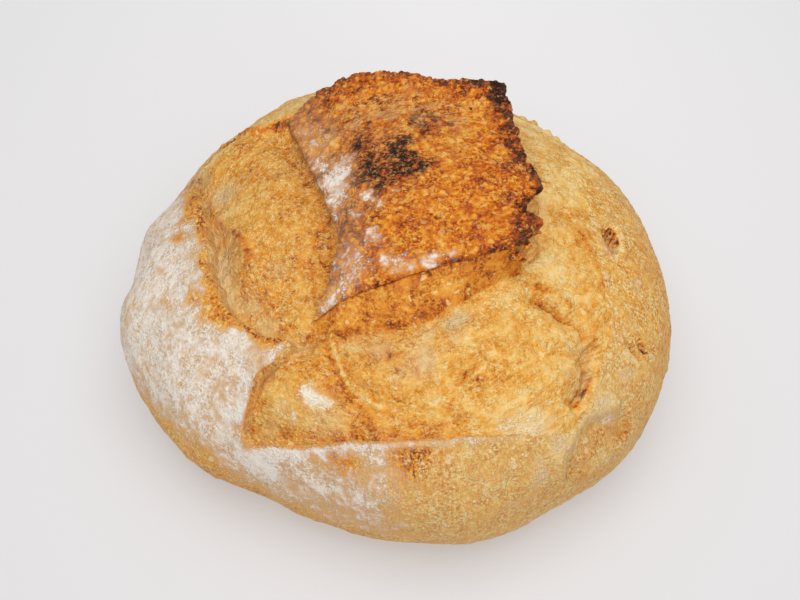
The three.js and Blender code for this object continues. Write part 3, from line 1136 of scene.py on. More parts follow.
@dataclass
class OuterCrust(Piece):
    """The crust round the opening, down the sides and under the foot, with its torn lips."""

    name: str = "outer_crust"
    slot: str = "crust"
    finish: BakedFinish = CRUST_FINISH
    columns: int = 640
    rows: int = 148
    crown_rows: int = 4
    foot_rows: int = 7
    crown_reach: float = 0.64  # radius share that the few crown rows cover, well inside the opening
    pit: float = 16.0  # depth of the hollow that the bloom fills
    pit_run: float = 1.8  # width of its torn wall
    snap: tuple[float, float] = (-0.25, 0.65)  # distances from a lip between which points are drawn to it
    snap_share: float = 0.8  # how much of the way
    drum: float = 115.0  # radius of the drum on which its wrinkles are laid out
    stretch: float = 0.32  # how much a length down the sides counts there
    burst_at: tuple[float, float] = (88.5, -1.0)  # middle of the burst blister, in plan
    burst_half: tuple[float, float] = (3.5, 8.2)  # half its width and half its length
    burst_slant: float = 0.12
    burst_depth: float = 6.0
    own_bake: float = 0.42  # bake away from the opening
    lip_bake: float = 0.32  # what a browned lip adds
    left_flour: float = 0.78
    front_flour: float = 0.42

    def start(self) -> bmesh.types.BMesh:
        """A sphere whose poles become the crown and the middle of the foot.

        Returns:
            The mesh.
        """
        bm = bmesh.new()
        bmesh.ops.create_uvsphere(bm, u_segments=self.columns, v_segments=self.rows, radius=1.0)
        return bm

    def place(self, raw: Array) -> Array:
        """Wrap the sphere onto the dome, draw its points onto the lips and sink the opening.

        Args:
            raw: the start mesh's points.

        Returns:
            The points in the coarse form, in mm.
        """
        dome = self.form.dome
        row = np.arccos(np.clip(raw[:, 2], -1, 1)) / math.pi * self.rows
        angle = np.arctan2(raw[:, 1], raw[:, 0])
        _, _, shares = dome.section()
        crown = float(dome.share_of_radius(np.array([self.crown_reach]))[0])
        foot = float(shares[2 * dome.steps])
        stops = [0, self.crown_rows, self.rows - self.foot_rows, self.rows]
        share = np.interp(row, stops, [0, crown, foot, 1])
        self.share = share
        p, normal = dome.place(angle, share)
        self.signed, nearest = self.form.lip_distance(p[:, :2])
        near = (self.signed > self.snap[0]) & (self.signed < self.snap[1]) & (p[:, 2] > dome.waist)
        on_lip, lip_normal = dome.place(*dome.polar(nearest))
        pull = self.snap_share * near[:, None]
        p = p + pull * (on_lip - p)
        normal = normal + pull * (lip_normal - normal)
        self.signed = self.signed * (1 - self.snap_share * near)
        self.on_top = p[:, 2] > dome.waist
        height = self.form.crust_relief(p) * self.form.foot_fade(p)
        height += self.lines(p[:, :2], CRUST_MARKS, "height") * self.on_top
        height -= self.pit * smoothstep(-0.3, -0.3 - self.pit_run, self.signed) * self.on_top
        placed = p + normal * height[:, None]
        placed[:, 2] = np.maximum(placed[:, 2], 0.0)
        return placed

    def relief(self, p: Array) -> Array:
        """Blisters, fine wrinkles that run down the sides, and pores.

        Args:
            p: the placed points.

        Returns:
            The height along the normal at each point, in mm.
        """
        noise = self.form.noise
        height = 0.4 * noise.layers(p, 11.0, 3) + 0.18 * noise.layers(p, 2.8, 2)
        height += 0.25 * noise.at(self.drawn(p), 2.6) * smoothstep(0, 10, self.signed)
        gap, draw = noise.cells(p, 5.5)
        height += 0.5 * np.clip(1 - gap / 0.45, 0, 1) * (draw > 0.72)
        gap, draw = noise.cells(p + 50, 4.0)
        height -= 0.7 * smoothstep(0.2, 0.0, gap) * (draw > 0.85)
        ragged = self.form.lip_value(p[:, :2], "ragged")
        height += 0.4 * ragged * noise.layers(p, 3.0, 2) * bell(self.signed, 2.0) * self.on_top
        height *= 1 - 0.6 * bell(self.signed, 1.2) * self.on_top
        height += self.patches(p, LUMPS) - self.burst_depth * self.burst(p)
        return height * self.form.foot_fade(p)

    def burst(self, p: Array) -> Array:
        """The burst blister at the right: 1 in its middle and 0 outside.

        Args:
            p: the points.

        Returns:
            The value at each point.
        """
        q = self.form.noise.warp(p, 5.0, 0.5)
        along = q[:, 1] - self.burst_at[1]
        across = q[:, 0] - self.burst_at[0] + self.burst_slant * along
        half_width, half_length = self.burst_half
        return smoothstep(1.0, 0.72, np.hypot(across / half_width, along / half_length)) * self.on_top

    def drawn(self, p: Array) -> Array:
        """Stretched down the sides, on a drum round the loaf."""
        return on_drum(p, self.drum, SECTION_LENGTH * self.share * self.stretch)

    def baked(self, p: Array, w: Array, browned: Array) -> Array:
        """Bake: the bloom's own beside a plain lip, tan elsewhere, and deeper at a browned lip.

        Args:
            p: the points.
            w: the same points stirred about, so that patches have wandering edges.
            browned: how much the nearest lips are browned.

        Returns:
            The bake at each point.
        """
        lip = bell(self.signed - 0.6, 1.6) * self.on_top
        beside = bell(np.maximum(self.signed, 0), 16.0) * smoothstep(0.4, 0.0, browned) * self.on_top
        own = self.own_bake + 0.05 * self.form.noise.layers(p, 24.0, 2)
        bake = own + (self.form.golden(p) - own) * beside
        bake += self.lip_bake * browned * lip + self.patches(w, CRUST_BAKE)
        # The marks add real browning and paleness, and painted shade in the crease and the two slits at the
        # right.
        bake += self.lines(w[:, :2], CRUST_MARKS, "browned") * self.on_top
        return bake

    def floured(self, p: Array, w: Array, angle: Array, browned: Array) -> Array:
        """Flour: thick down the left, thinner at the front and along the front lip, none on a browned lip.

        Args:
            p: the points.
            w: the same points stirred about.
            angle: their directions from the axis, in degrees.
            browned: how much the nearest lips are browned.

        Returns:
            The flour at each point.
        """
        left, front = band(138, 160, 232, 256, angle), band(224, 238, 262, 276, angle)
        low = 14 + 12 * smoothstep(185, 215, angle)
        flour = self.left_flour * left * smoothstep(0, 30, w[:, 2] - low)
        flour += self.front_flour * front * smoothstep(16, 34, w[:, 2])
        flour -= 0.16 * left * smoothstep(205, 232, angle)
        flour += self.patches(w, CRUST_FLOUR)
        bare = 1.3 + 1.5 * smoothstep(-60, -45, p[:, 1])
        flour -= 1.3 * browned * bell(self.signed, bare) * self.on_top
        front_lip = band(232, 242, 284, 300, angle) * self.on_top
        flour += 0.6 * front_lip * bell(self.signed - 0.5, 1.0)
        return np.clip(flour + 0.10 * self.form.noise.layers(p, 12.0, 3), 0, 1.1)

    def masks(self, p: Array, crest: Array) -> dict[Mask, Array]:
        """Flour down the left and front, browning at the lips and in spots, tan elsewhere, painted shadow in
        the burst.

        Args:
            p: the finished points.
            crest: from -1 in a hollow to 1 on a crest.

        Returns:
            The masks that differ from the plain ones.
        """
        noise = self.form.noise
        w = noise.warp(noise.warp(p, 14.0, 3.0), 4.0, 1.2)
        angle = np.degrees(np.arctan2(w[:, 1], w[:, 0])) % 360
        browned = self.form.lip_value(p[:, :2], "browned")
        bake = self.baked(p, w, browned)
        flour = self.floured(p, w, angle, browned)
        inside = smoothstep(0.2, -1.5, self.signed) * self.on_top
        burst = smoothstep(0.08, 0.4, self.burst(p))
        x, y = self.burst_at
        # Painted shadow: far is the upper right of the burst blister's hollow, baked dark brown for the shade
        # on its inner wall; the rest of its floor takes the pale crumb colour.
        far = smoothstep(-0.6, 1.2, 0.5 * (p[:, 1] - y) + 1.3 * (p[:, 0] - x))
        tan = 0.4 * band(215, 240, 320, 350, angle) * bell(np.maximum(bake - 0.48, 0), 0.1)
        foot = (0.7 - 0.35 * smoothstep(-40, -80, p[:, 1])) * smoothstep(34, 12, p[:, 2])
        tan = np.maximum(tan, foot)
        return {
            Mask.BAKE: bake * (1 - burst) + burst * (0.3 + 0.75 * far),
            Mask.FLOUR: flour * (1 - smoothstep(0.2, -0.4, self.signed) * self.on_top) * (1 - burst),
            Mask.CREST: crest,
            Mask.SHADE: np.maximum.reduce([0.8 * inside, 0.9 * burst * (1 - far), tan * (1 - burst)]),
            Mask.WEB: (0.7 + 0.3 * smoothstep(-20, 60, p[:, 0])) * (1 - burst),
            Mask.BLISTER: 1 - burst,
        }


CRUST_MARKS = (
    # Painted shade: the crease at the front right, in the first row, is baked darker for the shade in it.
    Mark(((95, -68), (91, -72), (83, -77), (77, -82), (72, -88), (69, -93), (66, -96)), -3.2, 2.6, 0.20),
    Mark(((91, -66), (86, -72), (79, -77), (73, -82), (68, -89), (64, -94), (62, -97)), 2.4, 3.2, -0.16),
    # Painted shade: the two slits at the right are baked dark for the shade in them.
    Mark(((92, -46), (94, -48), (96, -49), (99, -50)), -3.2, 1.0, 0.5),
    Mark(((97, -44), (99, -46), (101, -47)), -2.6, 1.0, 0.5),
    Mark(((90, -49), (94, -51), (99, -53)), 0.9, 1.1, -0.35),
    Mark(((90, 10), (92, 5), (93, -2), (92, -9), (90, -12)), 1.5, 1.0, -0.3),
    Mark(((-34, -93), (-20, -94), (-10, -96), (0, -98), (12, -98), (24, -97)), 0.5, 0.9, -0.25),
)
CRUST_BAKE = patch_rows(
    (-70, -78, 20, 20, 0.16), (-81, -35, 81, 6, 0.14), (-76, -9, 80, 3, -0.15), (-30, -102, 30, 26, 0.1),
    (93, -52, 66, 2, 0.2), (4, -101, 71, 9, 0.08), (-12, -108, 40, 7, 0.1), (24, -101, 69, 4, 0.1),
    (7, -106, 65, 5, 0.12), (-24, -100, 62, 4, 0.1), (-92, 46, 64, 4, 0.3), (-87, 22, 80, 5, 0.16),
    (-87, 10, 81, 4, 0.14), (-84, -9, 83, 3, 0.12), (-58, -52, 86, 3, 0.16), (-46, -61, 87, 2.4, 0.16),
    (-89, 40, 71, 3.4, 0.24), (-84, 17, 83, 5.8, 0.14), (-80, 5, 85, 4.9, 0.14), (-90, 2, 79, 3.9, 0.17),
    (-78, -18, 86, 3.9, 0.18), (-76, -27, 87, 2.9, 0.15), (-73, -38, 86, 6.8, 0.12),
    (-72, -44, 84, 3.4, 0.2), (-68, -48, 84, 3.9, 0.16), (-66, -43, 86, 2.4, 0.15),
    (-54, -58, 85, 3.9, 0.18), (-49, -61, 86, 2.9, 0.21), (-51, -66, 84, 2.4, 0.12),
    (-98, 37, 61, 3.9, 0.12), (-94, -28, 74, 3.9, 0.08), (-62, -83, 58, 3.4, 0.1),
    (-59, -80, 67, 2.4, 0.08), (-56, -84, 18, 3.4, 0.15), (-30, -97, 60, 2.9, 0.12),
    (-20, -101, 61, 5.8, 0.1), (0, -101, 70, 6.8, 0.12), (7, -100, 72, 5.8, 0.15),
    (14, -101, 71, 3.9, 0.13), (-24, -97, 65, 2.4, 0.12), (-26, -103, 36, 4.9, 0.08),
    (-3, -111, 34, 4.9, 0.12), (17, -98, 73, 3.9, 0.12), (75, -90, 37, 2.9, 0.18), (70, -92, 51, 2.4, 0.12),
    (64, -88, 67, 4.9, -0.15), (58, -98, 56, 4.9, -0.12), (29, -101, 68, 2.9, -0.1),
    (29, -110, 54, 2.9, -0.1), (81, -69, 66, 6.8, -0.16),
)
CRUST_FLOUR = patch_rows(
    (-82, -33, 81, 5.5, -0.75), (-80, -43, 80, 4, -0.45), (-92, 46, 64, 5, -0.9), (-87, 24, 80, 6, -0.8),
    (-88, 13, 80, 5, -0.7), (-91, 35, 72, 5, -0.7), (-83, -9, 84, 3.4, -0.5), (-47, -60, 87, 3.4, -0.7),
    (-57, -53, 86, 3.4, -0.7), (84, -70, 64, 4, 0.3), (92, -58, 65, 3, 0.35), (77, -77, 62, 4, 0.35),
    (95, -50, 67, 2, 0.4), (64, -91, 63, 4, 0.3), (-89, 40, 71, 3.9, -0.7), (-84, 15, 83, 6.3, -0.85),
    (-80, 3, 85, 4.9, -0.85), (-90, 1, 79, 3.9, -0.75), (-78, -18, 86, 4.4, -0.8),
    (-75, -29, 87, 2.4, -0.4), (-73, -38, 86, 6.8, -0.7), (-71, -46, 84, 5.8, -0.85),
    (-66, -44, 86, 2.9, -0.5), (-54, -59, 85, 3.4, -0.6), (-49, -61, 86, 3.4, -0.8),
    (-53, -65, 83, 2.4, -0.5), (-98, 37, 61, 3.9, -0.45), (-95, -28, 73, 4.4, -0.35),
    (-62, -83, 58, 3.4, -0.5), (-58, -80, 67, 2.9, -0.5), (-56, -88, 55, 3.4, -0.3),
    (-56, -84, 18, 3.9, -0.5), (-20, -101, 61, 5.8, -0.4), (-24, -97, 65, 1.9, -0.6),
    (-80, -25, 85, 2.4, 0.4), (-65, -55, 82, 3.9, 0.3), (-30, -96, 61, 1.5, 0.8), (-28, -98, 61, 1.5, 0.8),
    (-26, -99, 60, 1, 0.6), (-29, -102, 44, 2.9, 0.5), (-22, -103, 52, 4.4, 0.4),
    (-12, -108, 49, 3.4, 0.45), (-7, -103, 66, 2.9, 0.55), (-5, -107, 61, 2.4, 0.4),
    (-57, -89, 47, 3.9, 0.35), (-51, -92, 45, 3.9, 0.3), (5, -113, 38, 3.4, 0.3), (60, -90, 68, 4.4, 0.3),
    (70, -88, 57, 3.9, 0.3), (56, -98, 59, 3.4, 0.3), (56, -100, 50, 3.9, 0.35), (86, -74, 54, 3.9, 0.3),
)


@dataclass
class EarSheet:
    """The sheet over the ear's four edges: a Coons patch, crowned in the middle. u runs right and v back."""

    front_edge: Points = (
        (-32, -51, 90), (-20, -46, 97), (-6, -43, 102), (13, -39, 107), (33, -34, 110), (51, -27, 111),
    )
    right_edge: Points = (
        (51, -27, 111), (57, -18, 111), (51, -10, 110), (58, 3, 111), (51, 18, 112), (48, 36, 113),
        (45, 56, 116),
    )
    back_edge: Points = (
        (-47, 60, 89), (-37, 69, 93), (-20, 74, 100), (2, 69, 107), (22, 60, 111), (45, 56, 116),
    )
    left_edge: Points = (
        (-32, -51, 90), (-25, -33, 97), (-23, -18, 101), (-27, -2, 101), (-35, 24, 97), (-47, 60, 89),
    )
    wall_foot: Points = (
        (-32, -53, 0), (-23, -58, 0), (-8, -59, 0), (8, -58, 0), (22, -50, 0), (34, -40, 0), (46, -32, 0),
    )
    crown: float = 5.0  # how much higher its middle lies than its edges ask
    steps: int = 40

    def __post_init__(self) -> None:
        """Draw the edges."""
        edges = (self.front_edge, self.right_edge, self.back_edge, self.left_edge, self.wall_foot)
        self.front, self.right, self.back, self.left, self.foot = (smooth_curve(e, self.steps) for e in edges)

    @staticmethod
    def on(curve: Array, t: Array) -> Array:
        """Points of a sampled curve at shares of its run.

        Args:
            curve: the samples.
            t: the shares, from 0 to 1.

        Returns:
            One point for each share.
        """
        at = np.clip(t, 0, 1) * (len(curve) - 1)
        low = np.minimum(at.astype(int), len(curve) - 2)
        share = (at - low)[:, None]
        return curve[low] * (1 - share) + curve[low + 1] * share

    def at(self, u: Array, v: Array) -> Array:
        """Points of the sheet.

        Args:
            u: share of the way right.
            v: share of the way back.

        Returns:
            The points, in mm.
        """
        uu, vv = u[:, None], v[:, None]
        across = self.on(self.front, u) * (1 - vv) + self.on(self.back, u) * vv
        along = self.on(self.left, v) * (1 - uu) + self.on(self.right, v) * uu
        low = self.front[0] * (1 - uu) + self.front[-1] * uu
        high = self.back[0] * (1 - uu) + self.back[-1] * uu
        sheet = across + along - (low * (1 - vv) + high * vv)
        sheet[:, 2] += self.crown * 16 * u * (1 - u) * v * (1 - v)
        return sheet

    def under_front(self, xy: Array) -> tuple[Array, Array]:
        """Where plan points lie on the wall under the front edge.

        Args:
            xy: plan points.

        Returns:
            The share of the way out from the front edge to the wall's foot, and the front edge's height.
        """
        x, y = xy[:, 0], xy[:, 1]
        edge = np.interp(x, self.front[:, 0], self.front[:, 1])
        foot = np.interp(x, self.foot[:, 0], self.foot[:, 1])
        height = np.interp(x, self.front[:, 0], self.front[:, 2])
        return (edge - y) / np.maximum(edge - foot, 1.0), height


@dataclass
class Bloom(Piece):
    """The dough that swelled through the opening, and the wall of it that lifts the ear's front edge.

    It is a disc wrapped onto the dome and closed underneath.
    """

    name: str = "bloom"
    slot: str = "bloom"
    finish: BakedFinish = BLOOM_FINISH
    upright: float = 0.3
    cells_across: int = 308
    reach: float = 0.992  # radius share at which it ends, well under the crust
    base: float = 34.0  # height of its hidden underside
    sink: float = 0.3  # how far it lies under the form's bloom, which its strands make up for
    tuck: float = 9.0  # how far it dips under the crust
    pocket: float = 1.8  # depth of its torn pockets
    hole: float = 2.0  # depth of its small holes
    ear_gap: float = 1.2  # how far the wall stays under the ear's front edge
    drum: float = 32.0  # radius of the drum on which its grain is laid out
    wall_bake: float = 0.635
    sheet: EarSheet = field(default_factory=EarSheet)

    def start(self) -> bmesh.types.BMesh:
        """A square grid with its edge turned down and closed.

        Returns:
            The mesh.
        """
        bm = bmesh.new()
        bmesh.ops.create_grid(bm, x_segments=self.cells_across, y_segments=self.cells_across, size=1.0)
        rim = [e for e in bm.edges if e.is_boundary]
        skirt = bmesh.ops.extrude_edge_only(bm, edges=rim)["geom"]
        low = [v for v in skirt if isinstance(v, bmesh.types.BMVert)]
        bmesh.ops.translate(bm, verts=low, vec=(0, 0, -1))
        bmesh.ops.holes_fill(bm, edges=[e for e in bm.edges if e.is_boundary])
        bmesh.ops.triangulate(bm, faces=[f for f in bm.faces if len(f.verts) > 4])
        return bm

    def place(self, raw: Array) -> Array:
        """Round the square to a disc, wrap it onto the dome and give it the bloom's form.

        Args:
            raw: the start mesh's points.

        Returns:
            The points in the coarse form, in mm.
        """
        dome, form = self.form.dome, self.form
        a, b = raw[:, 0], raw[:, 1]
        x, y = a * np.sqrt(1 - b * b / 2), b * np.sqrt(1 - a * a / 2)
        limit = float(dome.share_of_radius(np.array([self.reach]))[0])
        share = np.clip(np.hypot(x, y), 0, 1) * limit
        p, normal = dome.place(np.arctan2(y, x), share)
        self.share = share
        self.signed, _ = form.lip_distance(p[:, :2])
        height = form.bloom_relief(p) - self.sink - self.tuck * smoothstep(0.6, 5.5, self.signed)
        height += self.tears(p)
        placed = p + normal * height[:, None]
        placed[:, 2] += self.wall(placed)
        self.hidden = raw[:, 2] < -0.5
        placed[self.hidden] = placed[self.hidden] * (0.85, 0.85, 0)
        placed[self.hidden, 2] = self.base
        return placed

    def wall(self, p: Array) -> Array:
        """Height that the wall under the ear's front edge adds, with a ledge low down at its left.

        Args:
            p: points of the bloom without it.

        Returns:
            The height at each point.
        """
        share, edge = self.sheet.under_front(p[:, :2])
        x = p[:, 0]
        ends = band(-35, -31, 47, 51, x)
        left_edge = np.interp(p[:, 1], self.sheet.left[:, 1], self.sheet.left[:, 0])
        covered = smoothstep(0.0, 3.0, x - left_edge) * smoothstep(-1.2, -0.4, share)
        slope = np.clip(1 - share, 0, 1) ** 1.2
        rise = np.where(share > 0, slope, covered)
        out = (edge - self.ear_gap - p[:, 2]) * rise * ends
        ledge = band(-26, -14, 18, 27, x)
        self.on_wall = band(-0.3, 0.0, 0.9, 1.05, share) * ends
        self.wall_share = share
        out += ledge * (1.5 * bell(share - 0.84, 0.10) - 1.6 * bell(share - 1.10, 0.10))
        return np.maximum(out, -2.5)

    def tears(self, p: Array) -> Array:
        """Pockets beside the left lip, crossed by strands that still hold, small holes and fine creases.

        Args:
            p: points on the smooth dome.

        Returns:
            The height along the normal at each point.
        """
        noise = self.form.noise
        q = noise.warp(p, 6.0, 1.2)
        strands = noise.strands(q * (1.0, 0.55, 1.0) + 9, 4.5)
        depth = np.clip(self.patches(q, BLOOM_SHADE, 1.25), 0, 1.3)
        height = -self.pocket * depth * (1 - 0.5 * strands)
        height -= self.hole * np.clip(self.patches(q, BLOOM_HOLES), 0, 1)
        height += self.patches(q, LUMPS)
        return height + self.lines(q[:, :2], BLOOM_MARKS, "height")

    def relief(self, p: Array) -> Array:
        """A sponge of strands and pores, drawn out round the loaf.

        Args:
            p: the placed points.

        Returns:
            The height along the normal at each point, in mm.
        """
        noise = self.form.noise
        q = noise.warp(p, 6.0, 1.6)
        soft = 1 - 0.55 * self.on_wall
        height = 0.5 * noise.layers(p, 10.0, 2)
        height += (0.5 * noise.strands(q, 5.0) + 0.35 * noise.strands(self.drawn(q) + 31, 2.4)) * soft
        height += 0.2 * noise.layers(q, 1.9, 2)
        gap, draw = noise.cells(q, 2.6)
        height -= 0.5 * smoothstep(0.3, 0.0, gap) * (draw > 0.7) * soft
        gap, draw = noise.cells(p + 19, 7.0)
        height -= 1.0 * smoothstep(0.16, 0.0, gap) * (draw > 0.8)
        return np.where(self.hidden, 0.0, height)

    def drawn(self, p: Array) -> Array:
        """Stretched round the loaf."""
        return on_drum(p, self.drum, SECTION_LENGTH * self.share)

    def baked(self, p: Array, w: Array, browned: Array) -> Array:
        """Bake away from the wall: golden, deeper along the front lip, painted shade in the holes, paler at
        the back.

        Args:
            p: the points.
            w: the same points stirred about, so that patches have wandering edges.
            browned: what the fine marks add.

        Returns:
            The bake at each point.
        """
        bake = self.form.golden(p) + self.patches(w, BLOOM_BAKE, 1.1)
        along = band(-48, -34, 20, 45, p[:, 0])
        bake += 0.13 * bell(self.signed + 2.5, 2.8) * smoothstep(-60, -80, p[:, 1]) * along
        bake -= 0.16 * smoothstep(58, 66, p[:, 1] + 0.25 * p[:, 0] + 14) * smoothstep(-30, -45, p[:, 0])
        marks = [mark for mark, _ in (*self.form.folds, *self.form.ridges)]
        bake += self.lines(w[:, :2], marks, "browned", 0.6)
        bake += browned
        # Painted shade: the small holes are baked darker for the shade inside them.
        bake += 0.3 * np.clip(self.patches(self.form.noise.warp(p, 6.0, 1.2), BLOOM_HOLES, 0.9), 0, 1)
        return bake

    def wall_baked(self, p: Array, w: Array) -> Array:
        """Bake of the wall under the ear, deepest close under it, at its ledge and at its right end.

        Args:
            p: the points.
            w: the same points stirred about.

        Returns:
            The bake at each point.
        """
        bake = self.wall_bake + 0.05 * self.form.noise.layers(self.drawn(p), 5.0, 3)
        bake += 0.10 * bell(self.wall_share, 0.12)
        bake += 0.6 * self.patches(w, SHELF, 1.2) + 0.06 * smoothstep(38, 48, p[:, 0])
        return bake

    def masks(self, p: Array, crest: Array) -> dict[Mask, Array]:
        """Golden at the left, pale to the right and the back, greyish deep in the tears.

        Args:
            p: the finished points.
            crest: from -1 in a hollow to 1 on a crest.

        Returns:
            The masks that differ from the plain ones.
        """
        noise = self.form.noise
        w = noise.warp(noise.warp(p, 12.0, 2.6), 4.0, 1.3)
        wall = self.on_wall
        # browned from these marks is real browning and paleness on most of them, painted shade along the
        # pocket's left side and in the slits, and a painted highlight on the pale seam ridge.
        browned = self.lines(noise.warp(p, 3.0, 0.5)[:, :2], BLOOM_MARKS, "browned", 0.65)
        bake = self.baked(p, w, browned) * (1 - wall) + self.wall_baked(p, w) * wall
        shade = np.clip(self.patches(w, BLOOM_SHADE, 1.1), 0, 1) * (0.9 - 0.2 * crest) * (1 - wall)
        web = (0.55 + 0.3 * smoothstep(-20, -45, p[:, 0])) * (1 - np.clip(3 * browned, 0, 0.8))
        return {
            Mask.BAKE: bake - 0.22 * shade,
            Mask.FLOUR: np.clip(self.patches(noise.warp(p, 4.0, 0.8), BLOOM_FLOUR, 1.2), 0, 1.2),
            Mask.CREST: crest,
            Mask.SHADE: np.clip(shade, 0, 1),
            Mask.WEB: web * (1 - 0.75 * wall),
        }


BLOOM_MARKS = (
    Mark(
        ((-77, 29), (-78, 22), (-78, 16), (-75, 8), (-71, 2), (-67, -3), (-63, -10), (-60, -17), (-57, -23)),
        1.5, 1.7, 0.19,
    ),
    Mark(((-66, -6), (-62, -14), (-59, -20), (-57, -28)), 0.8, 2.8, 0.12),
    # Painted shadow: a dark line along the left side of the pocket, where the lip shades it.
    Mark(((-73.5, 0), (-72.5, -8), (-71.5, -14), (-70, -21), (-68, -28)), -0.8, 0.9, 0.3),
    # Painted highlight: this pale ridge along the front seam is a bright line where light catches it.
    Mark(
        ((-26, -57), (-24, -63), (-22, -69), (-20, -74), (-17, -78), (-13, -81), (-7, -85), (-3, -87)),
        1.0, 1.0, -0.5,
    ),
    Mark(
        ((-28, -58), (-26, -64), (-24, -70), (-22, -75), (-19, -80), (-14, -84), (-8, -87)),
        -0.6, 1.6, 0.18,
    ),
    Mark(((36, -71), (32, -74), (28, -77), (23, -82)), 0.7, 1.0, -0.35),
    Mark(((34, -70), (30, -73), (26, -76), (22, -80)), -0.4, 1.4, 0.10),
    Mark(((53, -38), (59, -42), (65, -45), (71, -48), (77, -53)), -3.2, 1.2, 0.32),
    Mark(((54, -34), (60, -37), (66, -40), (71, -43)), 1.6, 2.4, 0.30),
    # Painted shade: the slits at the right, in these four rows, are baked darker, the narrow lines in them
    # darkest, for the shade inside them.
    Mark(((79, -52), (77, -55), (74, -60), (71, -65)), -2.6, 1.3, 0.22),
    Mark(((79.5, -52), (77.5, -55), (75.5, -60)), -1.4, 0.6, 0.35),
    Mark(((77, -63), (75, -68), (72.5, -73), (69.5, -78)), -1.8, 0.6, 0.5),
    Mark(((78, -62), (76, -67), (73, -72), (68, -79)), -3.6, 1.3, 0.25),
    Mark(((81, -62), (79, -69), (76, -74), (72, -80)), 1.0, 1.8, 0.04),
    Mark(((-57, -82), (-53, -83), (-49, -87)), -1.0, 1.0, 0.12),
    Mark(((-51, -83), (-46, -86), (-40, -89)), -1.0, 1.0, 0.12),
    Mark(((-43, -61), (-37, -58), (-32, -57), (-27, -59)), -1.2, 1.3, 0.12),
    Mark(((-47, -65), (-50, -67), (-53, -70), (-54, -74)), -1.6, 1.4, 0.10),
    Mark(((-16, -60), (-8, -66), (2, -70), (13, -73), (23, -72)), 0.5, 1.5, 0.08),
    Mark(((-20, -70), (-12, -77), (0, -83), (11, -82), (21, -79)), 0.6, 2.0, 0.05),
    Mark(((-18, -65), (-9, -73), (1, -78), (11, -77)), -0.5, 1.2, -0.05),
    Mark(((70, 0), (75, -3), (78, -9), (80, -15), (83, -23), (84, -32)), 0.6, 2.0, 0.20),
    Mark(((60, 8), (64, 2), (67, -6), (70, -14), (73, -22)), 0.3, 1.8, 0.13),
    Mark(((73, -38), (76, -42), (78, -48), (80, -54)), 0.3, 2.0, 0.14),
    Mark(((74, 0), (80, -3), (83, -10)), 0.4, 1.6, 0.08),
    Mark(((-78, 60), (-73, 62), (-66, 59), (-58, 56), (-53, 58), (-46, 60), (-38, 62)), 2.0, 2.2, 0.30),
    Mark(((-76, 66), (-70, 65), (-62, 62), (-55, 62), (-47, 65)), -1.0, 2.6, -0.12),
)
BLOOM_BAKE = patch_rows(
    (-50, -32, 90, 14, 0.09), (-40, -78, 78, 13, -0.05), (5, -88, 78, 16, 0.05), (80, -66, 78, 4, -0.16),
    (74, -77, 74, 4, -0.16), (74, -58, 80, 4, -0.12), (-79, 49, 73, 6.8, -0.25), (-74, 25, 83, 3.9, -0.2),
    (-65, 12, 88, 4.9, -0.14), (-65, 46, 85, 3.9, 0.11), (-58, 51, 86, 4.4, 0.13), (-49, 55, 86, 4.9, 0.13),
    (-60, 35, 89, 2.9, 0.11), (-45, 29, 91, 6.8, 0.1), (-39, 7, 95, 6.3, 0.08), (-35, 21, 93, 3.9, 0.1),
    (-28, -6, 93, 3.4, 0.2), (-26, -16, 93, 2.9, 0.18), (-27, 1, 95, 2.4, 0.16), (-31, 13, 95, 2.9, 0.11),
    (-34, -27, 92, 5.8, 0.11), (-56, -14, 92, 2.9, -0.1), (-61, -23, 90, 2.9, 0.09),
    (-45, -52, 85, 2.9, 0.11), (-37, -73, 82, 4.9, 0.08), (-30, -69, 84, 3.4, 0.11),
    (-23, -80, 79, 4.4, 0.13), (-25, -72, 82, 2.9, 0.08), (-47, -79, 74, 5.8, -0.1),
    (-10, -91, 74, 6.3, 0.11), (2, -93, 75, 6.8, 0.08), (-21, -91, 70, 3.9, 0.08), (-5, -68, 89, 3.4, 0.08),
    (1, -73, 88, 1.9, 0.12), (13, -69, 91, 2.9, 0.08), (52, -56, 89, 3.9, 0.14), (52, -63, 87, 3.9, 0.11),
    (60, -58, 85, 2.9, 0.08), (22, -83, 83, 1.9, 0.13), (39, -81, 83, 1.9, 0.12), (13, -86, 81, 3.9, -0.1),
    (52, -90, 70, 5.8, -0.2), (40, -90, 73, 4.9, -0.14), (69, 32, 88, 14.6, -0.14),
    (60, -27, 91, 7.8, -0.16), (54, -22, 93, 4.9, -0.2), (65, -39, 87, 5.8, -0.14), (79, -5, 85, 3.9, 0.16),
    (78, -13, 86, 2.9, 0.12), (75, -4, 87, 2.9, 0.11), (71, -1, 88, 2.4, 0.1), (81, -19, 84, 2.9, 0.08),
    (83, -30, 82, 3.4, 0.08), (81, -44, 79, 3.9, 0.08), (56, -18, 93, 1.9, 0.12), (63, 75, 65, 5.8, -0.1),
    (61, 3, 92, 5.8, -0.1), (41, -44, 93, 5.8, -0.08),
)
